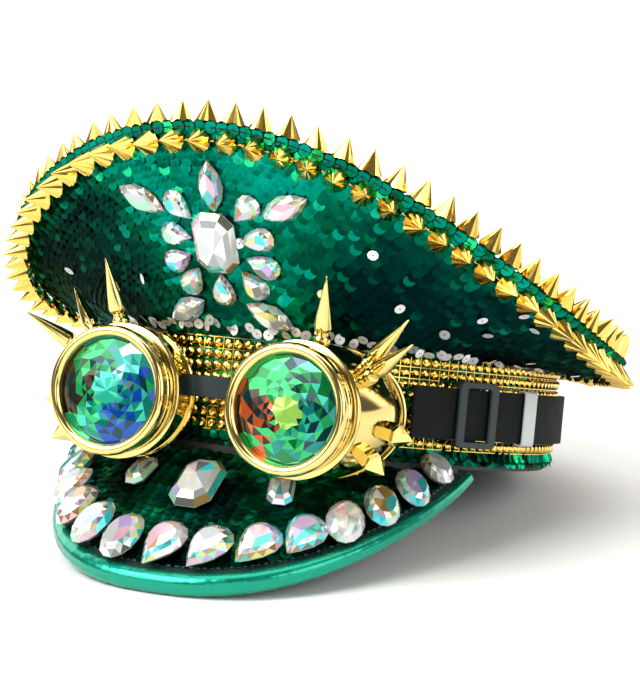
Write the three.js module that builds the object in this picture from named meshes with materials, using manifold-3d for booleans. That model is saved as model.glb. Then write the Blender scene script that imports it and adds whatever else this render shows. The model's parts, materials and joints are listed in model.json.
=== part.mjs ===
// A sequinned captain's cap with a pair of spiked goggles strapped round its band.
// Millimetres. The cap is built level: +Z up, the peak towards -Y, the wearer's left at +X,
// z = 0 at the lower edge of the band. It is then tipped back onto its peak and the back of its band,
// which is how it stands on a table, with the table at z = 0.
import * as THREE from "three";
import { mergeVertices } from "three/addons/utils/BufferGeometryUtils.js";
import Module from "manifold-3d";

const wasm = await Module();
wasm.setup();

const { sin, cos, hypot, sign } = Math;
const rad = THREE.MathUtils.degToRad;
const lerp = THREE.MathUtils.lerp;
const v3 = (x, y, z) => new THREE.Vector3(x, y, z);
const v2 = (x, y) => new THREE.Vector2(x, y);
const UP = v3(0, 0, 1);

// ---------------------------------------------------------------- driving dimensions

const GAP = 0.3; // between pieces that touch
const SEGMENTS = 36; // facets round the cap

// The band is an oval, given by half its width and half its length.
const HEAD = { halfWidth: 83, halfLength: 100 }; // inside the sweatband: a 58 cm head
const SWEATBAND = { thick: 1.0, from: 1.5, to: 40 };
const HEADBAND = { thick: 2.4, from: 0, to: 44 };
const COVER = { thick: 1.2, from: 1.5, to: 44 };
const MESH_BAND = { thick: 1.5, from: 7.1, to: 43 };

// The crown's edge is an egg in plan, high in front and low at the sides and back.
const RIM = {
  halfWidth: 125.5,
  wider: 0.07, // how much wider it is in front than behind
  centreY: -26,
  forward: 125,
  backward: 146,
  low: 45,
  front: 120.5,
  steepness: 3.4,
  backRise: 6,
};
const CROWN = { thick: 1.2, ridge: 24, topSeam: 7, sideSeam: 2, bottom: 44.4, sag: 0.12 };
const HOOP = { radius: 1.1, inset: 13 };
const LINING = { thick: 0.9, below: 3.2, reach: 0.64, bottom: 44.4, footOut: 2.2 };
const STUD = {
  count: 76,
  radius: 4.7,
  height: 9.6,
  sides: 5,
  lowerInset: 5.4, // from the rim
  upperInset: 3.6,
  tapeWidth: 6.4,
  tapeThick: 1.3,
  lift: 0.8, // of the tape, over the cloth
  sunk: 0.15, // from the tape's underside up to the cones' feet
  clear: 0.35, // under the low side of a leaning cone
  mostLean: 33, // from square to the cloth
  lowerClimb: -8, // where the cones would point, in degrees above level
  upperClimb: 52,
};

// The peak: a bent board between the band and an arched edge. Its edge is an oval that is squarer
// than an ellipse: the powers are those of the sine and cosines that draw it.
const PEAK = {
  halfWidth: 81.8,
  rootY: -48.3,
  reach: 104.7,
  drop: 48.9,
  widthPower: 0.82,
  reachPower: 1.15,
  dropPower: 1.1,
  bandAngle: 61,
  rootZ: -3.4,
  rootOut: 0.7, // from the band's sequinned cover
  arch: 1.6,
  edgeGap: 0.6, // between the layers and the padded edge
  spans: 24, // facets along the layers
};
// The peak's layers, as heights above its middle surface.
const PEAK_LAYERS = {
  visor_top_cover: [1.2, 2.4],
  visor_board: [-1.2, 0.8],
  visor_underside: [-2.7, -1.6],
};
const SQUARENESS = 0.8; // how squarely the peak's straight lines meet its edge, at worst
const PEAK_SIDE_ANGLE = 80; // where the board's sides end
const BINDING = { radius: 4.5, endRadius: 2.4, endAngle: 87.5, spans: 32 };

// The goggles: cup axes run fore and aft, depths are measured back from the bezels' front.
const GOGGLES = { halfSpacing: 38, frontY: -136.2, z: 18.65, facets: 24 };
const CUP = {
  neck: 22.9,
  neckFrom: 9.3,
  flange: 26.3,
  flangeFrom: 10.9,
  flangeTo: 12.5,
  waist: 23.8,
  wall: 1.6,
  lip: 1.6,
  lipWidth: 2.8,
  noseDepth: 25.5,
  templeDepth: 48.5,
  saddle: 6,
  bulge: 1.6,
  rimRadius: 26,
  rimTemple: 1.95, // how much further the back rim reaches at the temple than at the top
  rimFlare: 1.8, // and how much it widens at both sides
  skinInset: 1.2, // of the body, inside the back rim
};
const LONG_SPIKE = { length: 27, radius: 3.5 };
const SMALL_SPIKE = { length: 12.5, radius: 4.2 };
const SPIKE_LEAN = 0.12; // how far spikes lean forward, as a slope
const SPIKE_STANDOFF = 1.1;
const BRIDGE = { height: 8.4, thick: 1.6, z: 23.7, depth: 16.5, endGap: 1.3 };
const STRAP = {
  width: 20,
  thick: 1.5,
  z: 22,
  standoff: 1.7, // off the rhinestone band
  startOut: 30.6, // from the cup's axis
  startBehind: 1.2, // behind the cup's back rim
  touchAngle: 66, // where it meets the band, from the front
  jointShare: 0.34, // where the goggles' end meets the loop, along the straight run
  jointGap: 0.02,
  spans: 22, // facets from where it meets the band to the back
};
const BUCKLE = { length: 23.6, height: 26, window: 14, bar: 2.6, thick: 1.8, room: 0.4, share: 0.79 };
const KEEPER = { length: 10, wall: 0.8, angle: 80, room: 0.45 };

// The emblem's stones, placed across and up the crown's front from the big stone.
const EMBLEM_Z = 79.6;
const EMERALD_STONE = { width: 18, length: 25, height: 6 };
const MARQUISE_STONE = { width: 10.5, length: 21, height: 4.5 };
const TEARDROP_STONE = { width: 10, length: 14, height: 4 };
const VISOR_STONE = { width: 10, length: 15, height: 4.5 };
// Angle round the peak, and share of the way from the band to the edge.
const VISOR_SPOTS = { emerald: [0, 0.33], small_stone_left: [-25, 0.34], small_stone_right: [22.5, 0.31] };
const STONE_LIFT = 0.9; // of a stone's back, over the cloth
const BORDER = {
  stones: 15,
  width: 16.2,
  length: 22.5,
  height: 5.5,
  inset: 12, // from the peak's edge
  endInset: 7.5,
  endAngle: 75,
  smallest: 0.55, // size the stones fall to at the ends, as a share of the middle one
  firstDrop: 4, // counted from the wearer's left; the others are ovals
  lastDrop: 7,
  slant: -42, // of the teardrops, from pointing straight at the edge
  lift: 2.6, // of their backs, over the cloth
  stripWidth: 4,
  stripTop: 2.9,
  stripHeight: 2.3,
  stripSpans: 24,
};

// ---------------------------------------------------------------- materials

const material = (color, roughness, metalness) =>
  new THREE.MeshStandardMaterial({ color, roughness, metalness });
const SEQUIN_GREEN = material(0x0a6f55, 0.25, 0.8);
const BUCKRAM = material(0x22302b, 0.9, 0);
const SATIN = material(0x0d1512, 0.5, 0);
const GOLD = material(0xd8b13a, 0.22, 1);
const GREEN_FOIL = material(0x06a06d, 0.25, 0.7);
const CRYSTAL = material(0xe4e6ee, 0.05, 0);
const GREEN_GLASS = material(0x2fbf7a, 0.05, 0);
const BLACK_ELASTIC = material(0x161a1b, 0.8, 0);
const BLACK_PLASTIC = material(0x1d2426, 0.35, 0);
const GREY_PLASTIC = material(0xb9bfbb, 0.5, 0);
const STEEL = material(0x8a8d90, 0.35, 1);

// ---------------------------------------------------------------- solids

// A closed solid from points and triangles: shared points merged, flat slivers dropped, faces out.
function solid(points, triangles) {
  const loose = new THREE.BufferGeometry();
  loose.setAttribute("position", new THREE.Float32BufferAttribute(points.flatMap((p) => p.toArray()), 3));
  loose.setIndex(triangles.flat());
  const geometry = mergeVertices(loose, 1e-3);
  const corner = (i) => v3().fromBufferAttribute(geometry.attributes.position, i);
  const index = geometry.index.array;
  const kept = [];
  let volume = 0;
  for (let i = 0; i < index.length; i += 3) {
    const [a, b, c] = index.slice(i, i + 3);
    if (a === b || b === c || c === a) continue;
    volume += corner(a).dot(corner(b).cross(corner(c)));
    kept.push([a, b, c]);
  }
  geometry.setIndex(volume > 0 ? kept.flat() : kept.flatMap(([a, b, c]) => [a, c, b]));
  return geometry;
}

// A solid through a row of outlines. Each outline is a strip: one side out, the other side back.
function sweep(outlines, closed) {
  const sides = outlines[0].length;
  const at = (i, j) => (i % outlines.length) * sides + (j % sides);
  const triangles = [];
  const quad = (a, b, c, d) => triangles.push([a, b, c], [a, c, d]);
  const spans = closed ? outlines.length : outlines.length - 1;
  for (let i = 0; i < spans; i += 1)
    for (let j = 0; j < sides; j += 1) quad(at(i, j), at(i + 1, j), at(i + 1, j + 1), at(i, j + 1));
  if (!closed)
    for (let j = 0; j < sides / 2 - 1; j += 1) {
      const last = outlines.length - 1;
      quad(at(0, j), at(0, j + 1), at(0, sides - 2 - j), at(0, sides - 1 - j));
      quad(at(last, j + 1), at(last, j), at(last, sides - 1 - j), at(last, sides - 2 - j));
    }
  return solid(outlines.flat(), triangles);
}

// The angles of the facets' corners round the cap, so that a flat facet faces front and back.
const AROUND = Array.from({ length: SEGMENTS }, (_, i) => rad(((i + 0.5) * 360) / SEGMENTS));

// count + 1 values from a to b
const steps = (a, b, count) => Array.from({ length: count + 1 }, (_, i) => lerp(a, b, i / count));

// A point on an oval about the cap's axis; angle 0 is the front, 90 degrees the wearer's left.
const onOval = (halfWidth, halfLength, t, z) => v3(halfWidth * sin(t), -halfLength * cos(t), z);

function toManifold(geometry) {
  const bare = geometry.clone();
  bare.deleteAttribute("normal");
  bare.deleteAttribute("uv");
  const merged = mergeVertices(bare, 1e-4);
  const triVerts = new Uint32Array(merged.index.array);
  const vertProperties = new Float32Array(merged.attributes.position.array);
  return new wasm.Manifold(new wasm.Mesh({ numProp: 3, vertProperties, triVerts }));
}

function fromManifold(body) {
  const mesh = body.getMesh();
  const geometry = new THREE.BufferGeometry();
  geometry.setAttribute("position", new THREE.Float32BufferAttribute(mesh.vertProperties, 3));
  geometry.setIndex(Array.from(mesh.triVerts));
  return geometry;
}

const join = (geometries) => fromManifold(geometries.map(toManifold).reduce((a, b) => a.add(b)));

// The unit normal of a surface point(t, v), and the point moved along it by h.
function normalOf(point, t, v) {
  const step = 1e-3;
  const alongT = point(t + step, v).sub(point(t - step, v));
  const alongV = point(t, v + step).sub(point(t, v - step));
  return alongT.cross(alongV).normalize();
}
const offset = (point, t, v, h) => point(t, v).addScaledVector(normalOf(point, t, v), h);

// The turn that takes +Z to the normal and +Y as near as it can to up.
function facing(normal, up) {
  const x = v3().crossVectors(up, normal).normalize();
  return new THREE.Matrix4().makeBasis(x, v3().crossVectors(normal, x), normal);
}

const cap = new THREE.Group();
const add = (name, geometry, look) => {
  const mesh = new THREE.Mesh(geometry, look);
  mesh.name = name;
  cap.add(mesh);
  return mesh;
};

// ---------------------------------------------------------------- band

// A band of the given thickness, starting this far outside the head's oval.
function bandGeometry(from, { thick, from: low, to: high }) {
  const outline = (t) => {
    const at = (out, z) => onOval(HEAD.halfWidth + out, HEAD.halfLength + out, t, z);
    return [at(from + thick, low), at(from + thick, high), at(from, high), at(from, low)];
  };
  return sweep(AROUND.map(outline), true);
}

const headbandStart = SWEATBAND.thick + GAP;
const coverStart = headbandStart + HEADBAND.thick + GAP;
const meshStart = coverStart + COVER.thick + GAP;
const bandOut = meshStart + MESH_BAND.thick; // the outside of the finished band

function makeBand() {
  add("sweatband", bandGeometry(0, SWEATBAND), SATIN);
  add("headband", bandGeometry(headbandStart, HEADBAND), BUCKRAM);
  add("band_sequin_cover", bandGeometry(coverStart, COVER), SEQUIN_GREEN);
  add("rhinestone_mesh_band", bandGeometry(meshStart, MESH_BAND), GOLD);
}

// ---------------------------------------------------------------- crown

// How far forward a rim point lies: 1 at the front, 0 at the back.
const forwardness = (t) => (1 + cos(t)) / 2;

function rim(t) {
  const reach = cos(t) > 0 ? RIM.forward : RIM.backward;
  const z =
    RIM.low +
    (RIM.front - RIM.low) * forwardness(t) ** RIM.steepness +
    RIM.backRise * (1 - forwardness(t)) ** 4;
  return v3(RIM.halfWidth * sin(t) * (1 + RIM.wider * cos(t)), RIM.centreY - reach * cos(t), z);
}

// The side panel: straight from the band's top (v = 0) to the rim (v = 1).
function crownSide(t, v) {
  const foot = onOval(HEAD.halfWidth + bandOut, HEAD.halfLength + bandOut, t, CROWN.bottom);
  const sag = CROWN.sag * foot.distanceTo(rim(t)) * sin(Math.PI * v) * (1 - forwardness(t) ** 2);
  return foot.lerp(rim(t), v).sub(v3(0, 0, sag));
}

// The top: arched from side to side over a ridge that falls evenly from the front to the back.
// s = 1 is the rim and s = 0 the middle.
function crownTop(t, s) {
  const edge = rim(t);
  const y = lerp(RIM.centreY, edge.y, s);
  const ahead = RIM.centreY - y;
  const sideCos = ahead / (ahead > 0 ? RIM.forward : RIM.backward);
  const side = rim(Math.acos(THREE.MathUtils.clamp(sideCos, -1, 1)));
  const halfWidth = Math.max(side.x, 1e-6);
  const across = Math.min(Math.abs(edge.x * s) / halfWidth, 1);
  const ridge = CROWN.ridge * (1 - sideCos ** 2);
  return v3(edge.x * s, y, side.z + ridge * (1 - across ** 2));
}

function makeCrown() {
  const side = (t) => {
    const up = steps(0, 1 - CROWN.sideSeam / rim(t).distanceTo(crownSide(t, 0)), 4);
    const inner = up.toReversed().map((v) => offset(crownSide, t, v, -CROWN.thick));
    return [...up.map((v) => crownSide(t, v)), ...inner];
  };
  add("crown_side", sweep(AROUND.map(side), true), SEQUIN_GREEN);

  const across = [0, 0.3, 0.6, 0.84];
  const sheet = (reach, below, thick) => (t) => {
    const rings = [...across.map((s) => s * reach), reach].map((s) => crownTop(t, s));
    const lowered = (drop) => rings.map((p) => p.clone().setZ(p.z - drop));
    return [...lowered(below), ...lowered(below + thick).toReversed()];
  };
  const edgeReach = 1 - CROWN.topSeam / RIM.halfWidth;
  add("crown_top", sweep(AROUND.map(sheet(edgeReach, 0, CROWN.thick)), true), SEQUIN_GREEN);

  const inset = (t) => {
    const inward = v3(0, RIM.centreY, 0).sub(rim(t)).setZ(0).normalize();
    const alongSide = crownSide(t, 0).sub(rim(t)).normalize();
    const alongTop = crownTop(t, 0.9).sub(rim(t)).normalize();
    const middle = alongSide.add(alongTop).normalize();
    const centre = rim(t).addScaledVector(middle, HOOP.inset);
    return steps(0, 300, 5).map((a) =>
      centre
        .clone()
        .addScaledVector(inward, HOOP.radius * cos(rad(a)))
        .add(v3(0, 0, HOOP.radius * sin(rad(a)))),
    );
  };
  add("crown_hoop", sweep(AROUND.map(inset), true), STEEL);
  makeLining(sheet);
}

// The lining follows the top and turns down to the band.
function makeLining(sheet) {
  const dome = sheet(LINING.reach, LINING.below, LINING.thick);
  const outline = (t) => {
    const points = dome(t);
    const foot = (out) => onOval(HEAD.halfWidth + out, HEAD.halfLength + out, t, LINING.bottom);
    const half = points.length / 2;
    const feet = [foot(LINING.footOut), foot(LINING.footOut - LINING.thick)];
    return [...points.slice(0, half), ...feet, ...points.slice(half)];
  };
  add("crown_lining", sweep(AROUND.map(outline), true), SATIN);
}

// ---------------------------------------------------------------- studs

// Angles that divide a curve into equal lengths: the start of each of them.
function evenAngles(curve, count, from = 0, to = 2 * Math.PI) {
  const fine = steps(from, to, 720);
  const lengths = [0];
  fine.slice(1).forEach((t, i) => lengths.push(lengths[i] + curve(t).distanceTo(curve(fine[i]))));
  const total = lengths.at(-1);
  return Array.from({ length: count }, (_, k) => {
    const i = lengths.findIndex((l) => l > (k * total) / count);
    return fine[i - 1];
  });
}

// A cone stud's foot and the way it points: turned from the cloth's normal towards the given climb.
function studStance(surface, t, v, climb) {
  const point = surface(t, v);
  const normal = normalOf(surface, t, v);
  const out = v3(point.x, point.y - RIM.centreY, 0).normalize();
  const wanted = out.multiplyScalar(cos(rad(climb))).addScaledVector(UP, sin(rad(climb)));
  const lean = Math.min(normal.angleTo(wanted), rad(STUD.mostLean));
  const axis = v3().crossVectors(normal, wanted).normalize();
  const lift = Math.max(STUD.lift + STUD.sunk, STUD.radius * sin(lean) + STUD.clear);
  return { foot: point.addScaledVector(normal, lift), way: normal.clone().applyAxisAngle(axis, lean) };
}

// A tape on a surface, inset from the rim, with a cone stud at each step.
function studTrim(surface, inset, from, climb) {
  const high = STUD.lift + STUD.tapeThick;
  const tape = (t) => {
    const corner = (side, h) => offset(surface, t, inset(t, from + (side * STUD.tapeWidth) / 2), h);
    return [corner(-1, high), corner(1, high), corner(1, STUD.lift), corner(-1, STUD.lift)];
  };
  const cone = (t) => {
    const { foot, way } = studStance(surface, t, inset(t, from), climb);
    const geometry = new THREE.ConeGeometry(STUD.radius, STUD.height, STUD.sides);
    geometry.rotateX(Math.PI / 2).translate(0, 0, STUD.height / 2);
    geometry.applyMatrix4(facing(way, UP));
    return geometry.translate(foot.x, foot.y, foot.z);
  };
  const cones = evenAngles(rim, STUD.count).map(cone);
  return join([sweep(AROUND.map(tape), true), ...cones]);
}

function makeStuds() {
  const sideInset = (t, d) => 1 - d / rim(t).distanceTo(crownSide(t, 0));
  const topInset = (t, d) => 1 - d / rim(t).distanceTo(crownTop(t, 0));
  const topFacingUp = (t, s) => crownTop(-t, s);
  const { lowerInset, upperInset, lowerClimb, upperClimb } = STUD;
  const upper = studTrim(topFacingUp, (t, d) => topInset(-t, d), upperInset, upperClimb);
  add("lower_stud_trim", studTrim(crownSide, sideInset, lowerInset, lowerClimb), GOLD);
  add("upper_stud_trim", upper, GOLD);
}

// ---------------------------------------------------------------- peak

// Peak angles start at the front and grow towards the wearer's right, so that normals point up.
const peakEdge = (t) =>
  v3(
    -PEAK.halfWidth * sign(t) * Math.abs(sin(t)) ** PEAK.widthPower,
    PEAK.rootY - PEAK.reach * cos(t) ** PEAK.reachPower,
    -PEAK.drop * cos(t) ** PEAK.dropPower,
  );

// The middle of the peak's thickness: from the band (v = 0) to the middle of the padded edge (v = 1).
function peakMiddle(t, v) {
  const band = coverStart + COVER.thick + PEAK.rootOut;
  const along = (t * PEAK.bandAngle) / 90;
  const root = onOval(HEAD.halfWidth + band, HEAD.halfLength + band, -along, PEAK.rootZ);
  return root.lerp(peakEdge(t), v).add(v3(0, 0, PEAK.arch * sin(Math.PI * v) * cos(t)));
}

const peakTop = (t, v) => offset(peakMiddle, t, v, PEAK_LAYERS.visor_top_cover[1]);

const bindingRadius = (t) => lerp(BINDING.endRadius, BINDING.radius, cos(t));

function makePeak() {
  const side = rad(PEAK_SIDE_ANGLE);
  const sheet = ([low, high]) => (t) => {
    const length = peakMiddle(t, 0).distanceTo(peakMiddle(t, 1));
    const along = steps(0, 1 - (bindingRadius(t) + PEAK.edgeGap) / (length * SQUARENESS), 3);
    return [
      ...along.map((v) => offset(peakMiddle, t, v, high)),
      ...along.toReversed().map((v) => offset(peakMiddle, t, v, low)),
    ];
  };
  const looks = { visor_top_cover: SEQUIN_GREEN, visor_board: BUCKRAM, visor_underside: SATIN };
  for (const [name, layer] of Object.entries(PEAK_LAYERS))
    add(name, sweep(steps(-side, side, PEAK.spans).map(sheet(layer)), false), looks[name]);

  const end = rad(BINDING.endAngle);
  const ring = (t) => {
    const centre = peakEdge(t);
    const normal = normalOf(peakMiddle, t, 1);
    const along = peakEdge(t + 1e-3).sub(peakEdge(t - 1e-3)).normalize();
    const out = v3().crossVectors(along, normal).normalize();
    return steps(22.5, 337.5, 7).map((a) =>
      centre
        .clone()
        .addScaledVector(out, bindingRadius(t) * cos(rad(a)))
        .addScaledVector(normal, bindingRadius(t) * sin(rad(a))),
    );
  };
  add("visor_binding", sweep(steps(-end, end, BINDING.spans).map(ring), false), GREEN_FOIL);
}

// ---------------------------------------------------------------- stones

const emeraldOutline = (w, l) => {
  const cut = w * 0.26;
  const [x, y] = [w / 2, l / 2];
  return [v2(x, y - cut), v2(x - cut, y), v2(cut - x, y), v2(-x, y - cut)].concat([
    v2(-x, cut - y),
    v2(cut - x, -y),
    v2(x - cut, -y),
    v2(x, cut - y),
  ]);
};
const around = (count, point) => Array.from({ length: count }, (_, i) => point((i * 2 * Math.PI) / count));
const ovalOutline = (w, l) => around(8, (a) => v2((w / 2) * cos(a), (l / 2) * sin(a)));
const teardropOutline = (w, l) => around(8, (a) => v2((w / 1.54) * sin(a) * sin(a / 2), (l / 2) * cos(a)));
const marquiseOutline = (w, l) =>
  around(8, (a) => v2((w / 2) * sign(sin(a)) * sin(a) ** 2, (l / 2) * cos(a)));

// A cut stone lying on z = 0: flat back, girdle, sloping crown and flat table.
function stone(outline, height) {
  const layers = [
    [0, 0],
    [0.82, 0],
    [1, height * 0.35],
    [0.62, height],
    [0, height],
  ];
  return sweep(
    outline.map((p) => layers.map(([scale, z]) => v3(p.x * scale, p.y * scale, z))),
    true,
  );
}

// Where a spot on the crown's front lies, across and up from the middle of the emblem.
function crownSpot(across, up) {
  const front = crownSide(0, 0).distanceTo(rim(0));
  const v = (EMBLEM_Z - CROWN.bottom) / (RIM.front - CROWN.bottom) + up / front;
  const foot = HEAD.halfWidth + bandOut;
  const t = Math.asin(across / lerp(foot, RIM.halfWidth * (1 + RIM.wider), v));
  return { surface: crownSide, t, v };
}

// Places a stone on a surface, its long axis turned this many degrees from the way up.
function setStone(mesh, { surface, t, v }, turn) {
  const normal = normalOf(surface, t, v);
  const up = surface(t, v + 1e-3).sub(surface(t, v)).normalize();
  const matrix = facing(normal, up).multiply(new THREE.Matrix4().makeRotationZ(rad(turn)));
  mesh.quaternion.setFromRotationMatrix(matrix);
  mesh.position.copy(surface(t, v)).addScaledVector(normal, STONE_LIFT);
}

function makeEmblem() {
  const { width, length, height } = EMERALD_STONE;
  const middle = add("crown_emerald", stone(emeraldOutline(width, length), height), CRYSTAL);
  setStone(middle, crownSpot(0, 0), 0);

  const marquises = [
    ["crown_marquise_top", 1.5, 23.4, 0],
    ["crown_marquise_upper_left", 30, 20, -60],
    ["crown_marquise_upper_right", -30, 20, 60],
    ["crown_marquise_lower_left", 17.5, -29.5, 63],
    ["crown_marquise_lower_right", -17.5, -29.5, -63],
  ];
  for (const [name, across, up, turn] of marquises) {
    const outline = marquiseOutline(MARQUISE_STONE.width, MARQUISE_STONE.length);
    setStone(add(name, stone(outline, MARQUISE_STONE.height), CRYSTAL), crownSpot(across, up), turn);
  }

  // Each teardrop points at the middle: its angle from straight down, and its distance.
  const ring = [
    [0, 20],
    [38, 21],
    [67, 19.4],
    [101, 17.4],
    [137, 20.6],
  ];
  const teardrops = [...ring, ...ring.slice(1).map(([angle, distance]) => [-angle, distance])];
  teardrops.forEach(([angle, distance], i) => {
    const outline = teardropOutline(TEARDROP_STONE.width, TEARDROP_STONE.length);
    const mesh = add("crown_teardrop_" + (i + 1), stone(outline, TEARDROP_STONE.height), CRYSTAL);
    const across = distance * sin(rad(angle));
    const up = -distance * cos(rad(angle));
    setStone(mesh, crownSpot(across, up), angle);
  });
}

function makePeakStones() {
  for (const [name, [angle, v]] of Object.entries(VISOR_SPOTS)) {
    const { width, length, height } = name === "emerald" ? EMERALD_STONE : VISOR_STONE;
    const mesh = add("visor_" + name, stone(emeraldOutline(width, length), height), CRYSTAL);
    setStone(mesh, { surface: peakTop, t: rad(angle), v }, 0);
  }

  const end = rad(BORDER.endAngle);
  const lineInset = (t) => lerp(BORDER.endInset, BORDER.inset, cos(t) ** 0.5);
  const share = (t, d) => 1 - d / peakTop(t, 0).distanceTo(peakTop(t, 1));
  const line = (t) => peakTop(t, share(t, lineInset(t)));
  const strip = steps(-end, end, BORDER.stripSpans).map((t) => {
    const corner = (side, h) => offset(peakTop, t, share(t, lineInset(t) + (side * BORDER.stripWidth) / 2), h);
    const low = BORDER.stripTop - BORDER.stripHeight;
    return [corner(-1, BORDER.stripTop), corner(1, BORDER.stripTop), corner(1, low), corner(-1, low)];
  });
  const stones = [...evenAngles(line, BORDER.stones - 1, -end, end), end].map((t, i) => {
    const size = lerp(BORDER.smallest, 1, cos(t) ** 0.5);
    const isDrop = i >= BORDER.firstDrop && i <= BORDER.lastDrop;
    const shape = isDrop ? teardropOutline : ovalOutline;
    const geometry = stone(shape(BORDER.width * size, BORDER.length * size), BORDER.height);
    if (isDrop) geometry.rotateZ(rad(BORDER.slant));
    const v = share(t, lineInset(t));
    const normal = normalOf(peakTop, t, v);
    const up = peakTop(t, v + 1e-3).sub(peakTop(t, v)).normalize();
    geometry.applyMatrix4(facing(normal, up));
    const foot = peakTop(t, v).addScaledVector(normal, BORDER.lift);
    return geometry.translate(foot.x, foot.y, foot.z);
  });
  add("visor_gem_border", join([sweep(strip, false), ...stones]), CRYSTAL);
}

// ---------------------------------------------------------------- goggles

// side is 1 for the wearer's left cup and -1 for the right one.
// Cup angles start at the top and grow towards the temple.
function cupPoint(side, angle, radius, depth) {
  const x = GOGGLES.halfSpacing + radius * sin(angle);
  return v3(side * x, GOGGLES.frontY + depth, GOGGLES.z + radius * cos(angle));
}

const cupDepth = (angle) =>
  lerp(CUP.noseDepth, CUP.templeDepth, (1 + sin(angle)) / 2) - CUP.saddle * cos(angle) ** 2;
const cupRimRadius = (angle) => CUP.rimRadius + CUP.rimTemple * sin(angle) + CUP.rimFlare * sin(angle) ** 2;

// The outside of the cup's body, from the flange (q = 0) to the back rim (q = 1).
function cupSkin(side, angle, q) {
  const bulge = CUP.bulge * sin(Math.PI * q) * (1 + sin(angle));
  const radius = lerp(CUP.waist, cupRimRadius(angle) - CUP.skinInset, q) + bulge;
  return cupPoint(side, angle, radius, lerp(CUP.flangeTo, cupDepth(angle) - CUP.lip, q));
}

function eyecup(side) {
  const outline = (angle) => {
    const skin = [0, 0.35, 0.7, 1].map((q) => cupSkin(side, angle, q));
    const radiusOf = (p) => hypot(side * p.x - GOGGLES.halfSpacing, p.z - GOGGLES.z);
    const inner = skin.map((p) => cupPoint(side, angle, radiusOf(p) - CUP.wall, p.y - GOGGLES.frontY));
    const back = cupDepth(angle);
    const at = (radius, depth) => cupPoint(side, angle, radius, depth);
    return [
      at(CUP.neck, CUP.neckFrom),
      at(CUP.neck, CUP.flangeFrom),
      at(CUP.flange, CUP.flangeFrom),
      at(CUP.flange, CUP.flangeTo),
      ...skin,
      at(cupRimRadius(angle), back - CUP.lip),
      at(cupRimRadius(angle), back),
      at(cupRimRadius(angle) - CUP.lipWidth, back),
      ...inner.slice(1).toReversed(),
      at(CUP.neck - CUP.wall, CUP.flangeTo),
      at(CUP.neck - CUP.wall, CUP.neckFrom),
    ];
  };
  return sweep(around(GOGGLES.facets, outline), true);
}

// The screw-on bezel: a rounded lip and a skirt that covers the cup's neck.
function lensRing(side) {
  const profile = [
    [20.9, 1.4],
    [22.4, 0],
    [24, 0.3],
    [25.15, 1.8],
    [25.15, 3.2],
    [24.4, 4],
    [24.4, 10.4],
    [23.2, 10.4],
    [23.2, 3.6],
    [20.9, 3.6],
  ];
  const outline = (angle) => profile.map(([radius, depth]) => cupPoint(side, angle, radius, depth));
  return sweep(around(GOGGLES.facets, outline), true);
}

// The lens: a disc behind the lip with a faceted front and a flat table in the middle.
function kaleidoscopeLens(side) {
  const rings = [
    [0, 1.5, 0],
    [6.4, 1.5, 0],
    [13.4, 2.2, 0.5],
    [19.6, 3.6, 0],
    [20.4, 4, 0],
    [22.7, 4, 0],
    [22.7, 8.9, 0],
    [0, 8.9, 0],
  ];
  const turn = (2 * Math.PI) / 16;
  const outline = (angle) =>
    rings.map(([radius, depth, twist]) => cupPoint(side, angle + twist * turn, radius, depth));
  return sweep(around(16, outline), true);
}

// A turned spike along +Z with a collar at its foot.
function longSpike() {
  const { length, radius } = LONG_SPIKE;
  const profile = [
    v2(0, 0),
    v2(radius * 0.9, 0),
    v2(radius * 0.9, 2.4),
    v2(radius * 0.68, 3.2),
    v2(radius * 0.68, 4.6),
    v2(radius, 6.2),
    v2(radius * 0.5, length * 0.66),
    v2(0, length),
  ];
  return new THREE.LatheGeometry(profile, 10).rotateX(Math.PI / 2);
}

// A short six-sided point on a six-sided nut.
function smallSpike() {
  const { length, radius } = SMALL_SPIKE;
  const profile = [v2(0, 0), v2(radius, 0), v2(radius, 3.4), v2(radius * 0.8, 4), v2(radius, 5), v2(0, length)];
  return new THREE.LatheGeometry(profile, 6).rotateX(Math.PI / 2);
}

// Stands a spike on the cup's body, leaning a little forward.
function setSpike(mesh, side, angle, depth, lean = SPIKE_LEAN) {
  const share = (depth - CUP.flangeTo) / (cupDepth(angle) - CUP.lip - CUP.flangeTo);
  const skin = (a, q) => cupSkin(side, a, q);
  const normal = normalOf(skin, angle, share);
  const foot = skin(angle, share);
  const axis = cupPoint(side, 0, 0, depth);
  if (normal.dot(foot.clone().sub(axis)) < 0) normal.negate();
  const way = normal.clone().add(v3(0, -lean, 0)).normalize();
  mesh.quaternion.setFromUnitVectors(UP, way);
  mesh.position.copy(foot).addScaledVector(normal, SPIKE_STANDOFF);
}

// Cup angle in degrees and depth of each spike, and its lean where it is bent another way.
const SPIKES = {
  left: { side: 1, long: [[11, 18], [48, 25], [58, 22]], small: [[100, 31.5], [121, 25]] },
  right: { side: -1, long: [[12, 18], [46, 25, -0.5], [59, 21]], small: [[100, 26], [124, 22]] },
};

function makeGoggles() {
  for (const [hand, { side, long, small }] of Object.entries(SPIKES)) {
    add(hand + "_eyecup", eyecup(side), GOLD);
    add(hand + "_lens_ring", lensRing(side), GOLD);
    add(hand + "_lens", kaleidoscopeLens(side), GREEN_GLASS);
    long.forEach(([angle, depth, lean], i) =>
      setSpike(add(hand + "_long_spike_" + (i + 1), longSpike(), GOLD), side, rad(angle), depth, lean),
    );
    small.forEach(([angle, depth], i) =>
      setSpike(add(hand + "_small_spike_" + (i + 1), smallSpike(), GOLD), side, rad(angle), depth),
    );
  }
  const length = 2 * (GOGGLES.halfSpacing - CUP.waist - BRIDGE.endGap);
  const bridge = add("nose_bridge", new THREE.BoxGeometry(length, BRIDGE.thick, BRIDGE.height), BLACK_PLASTIC);
  bridge.position.set(0, GOGGLES.frontY + BRIDGE.depth, BRIDGE.z);
}

// ---------------------------------------------------------------- strap

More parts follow.
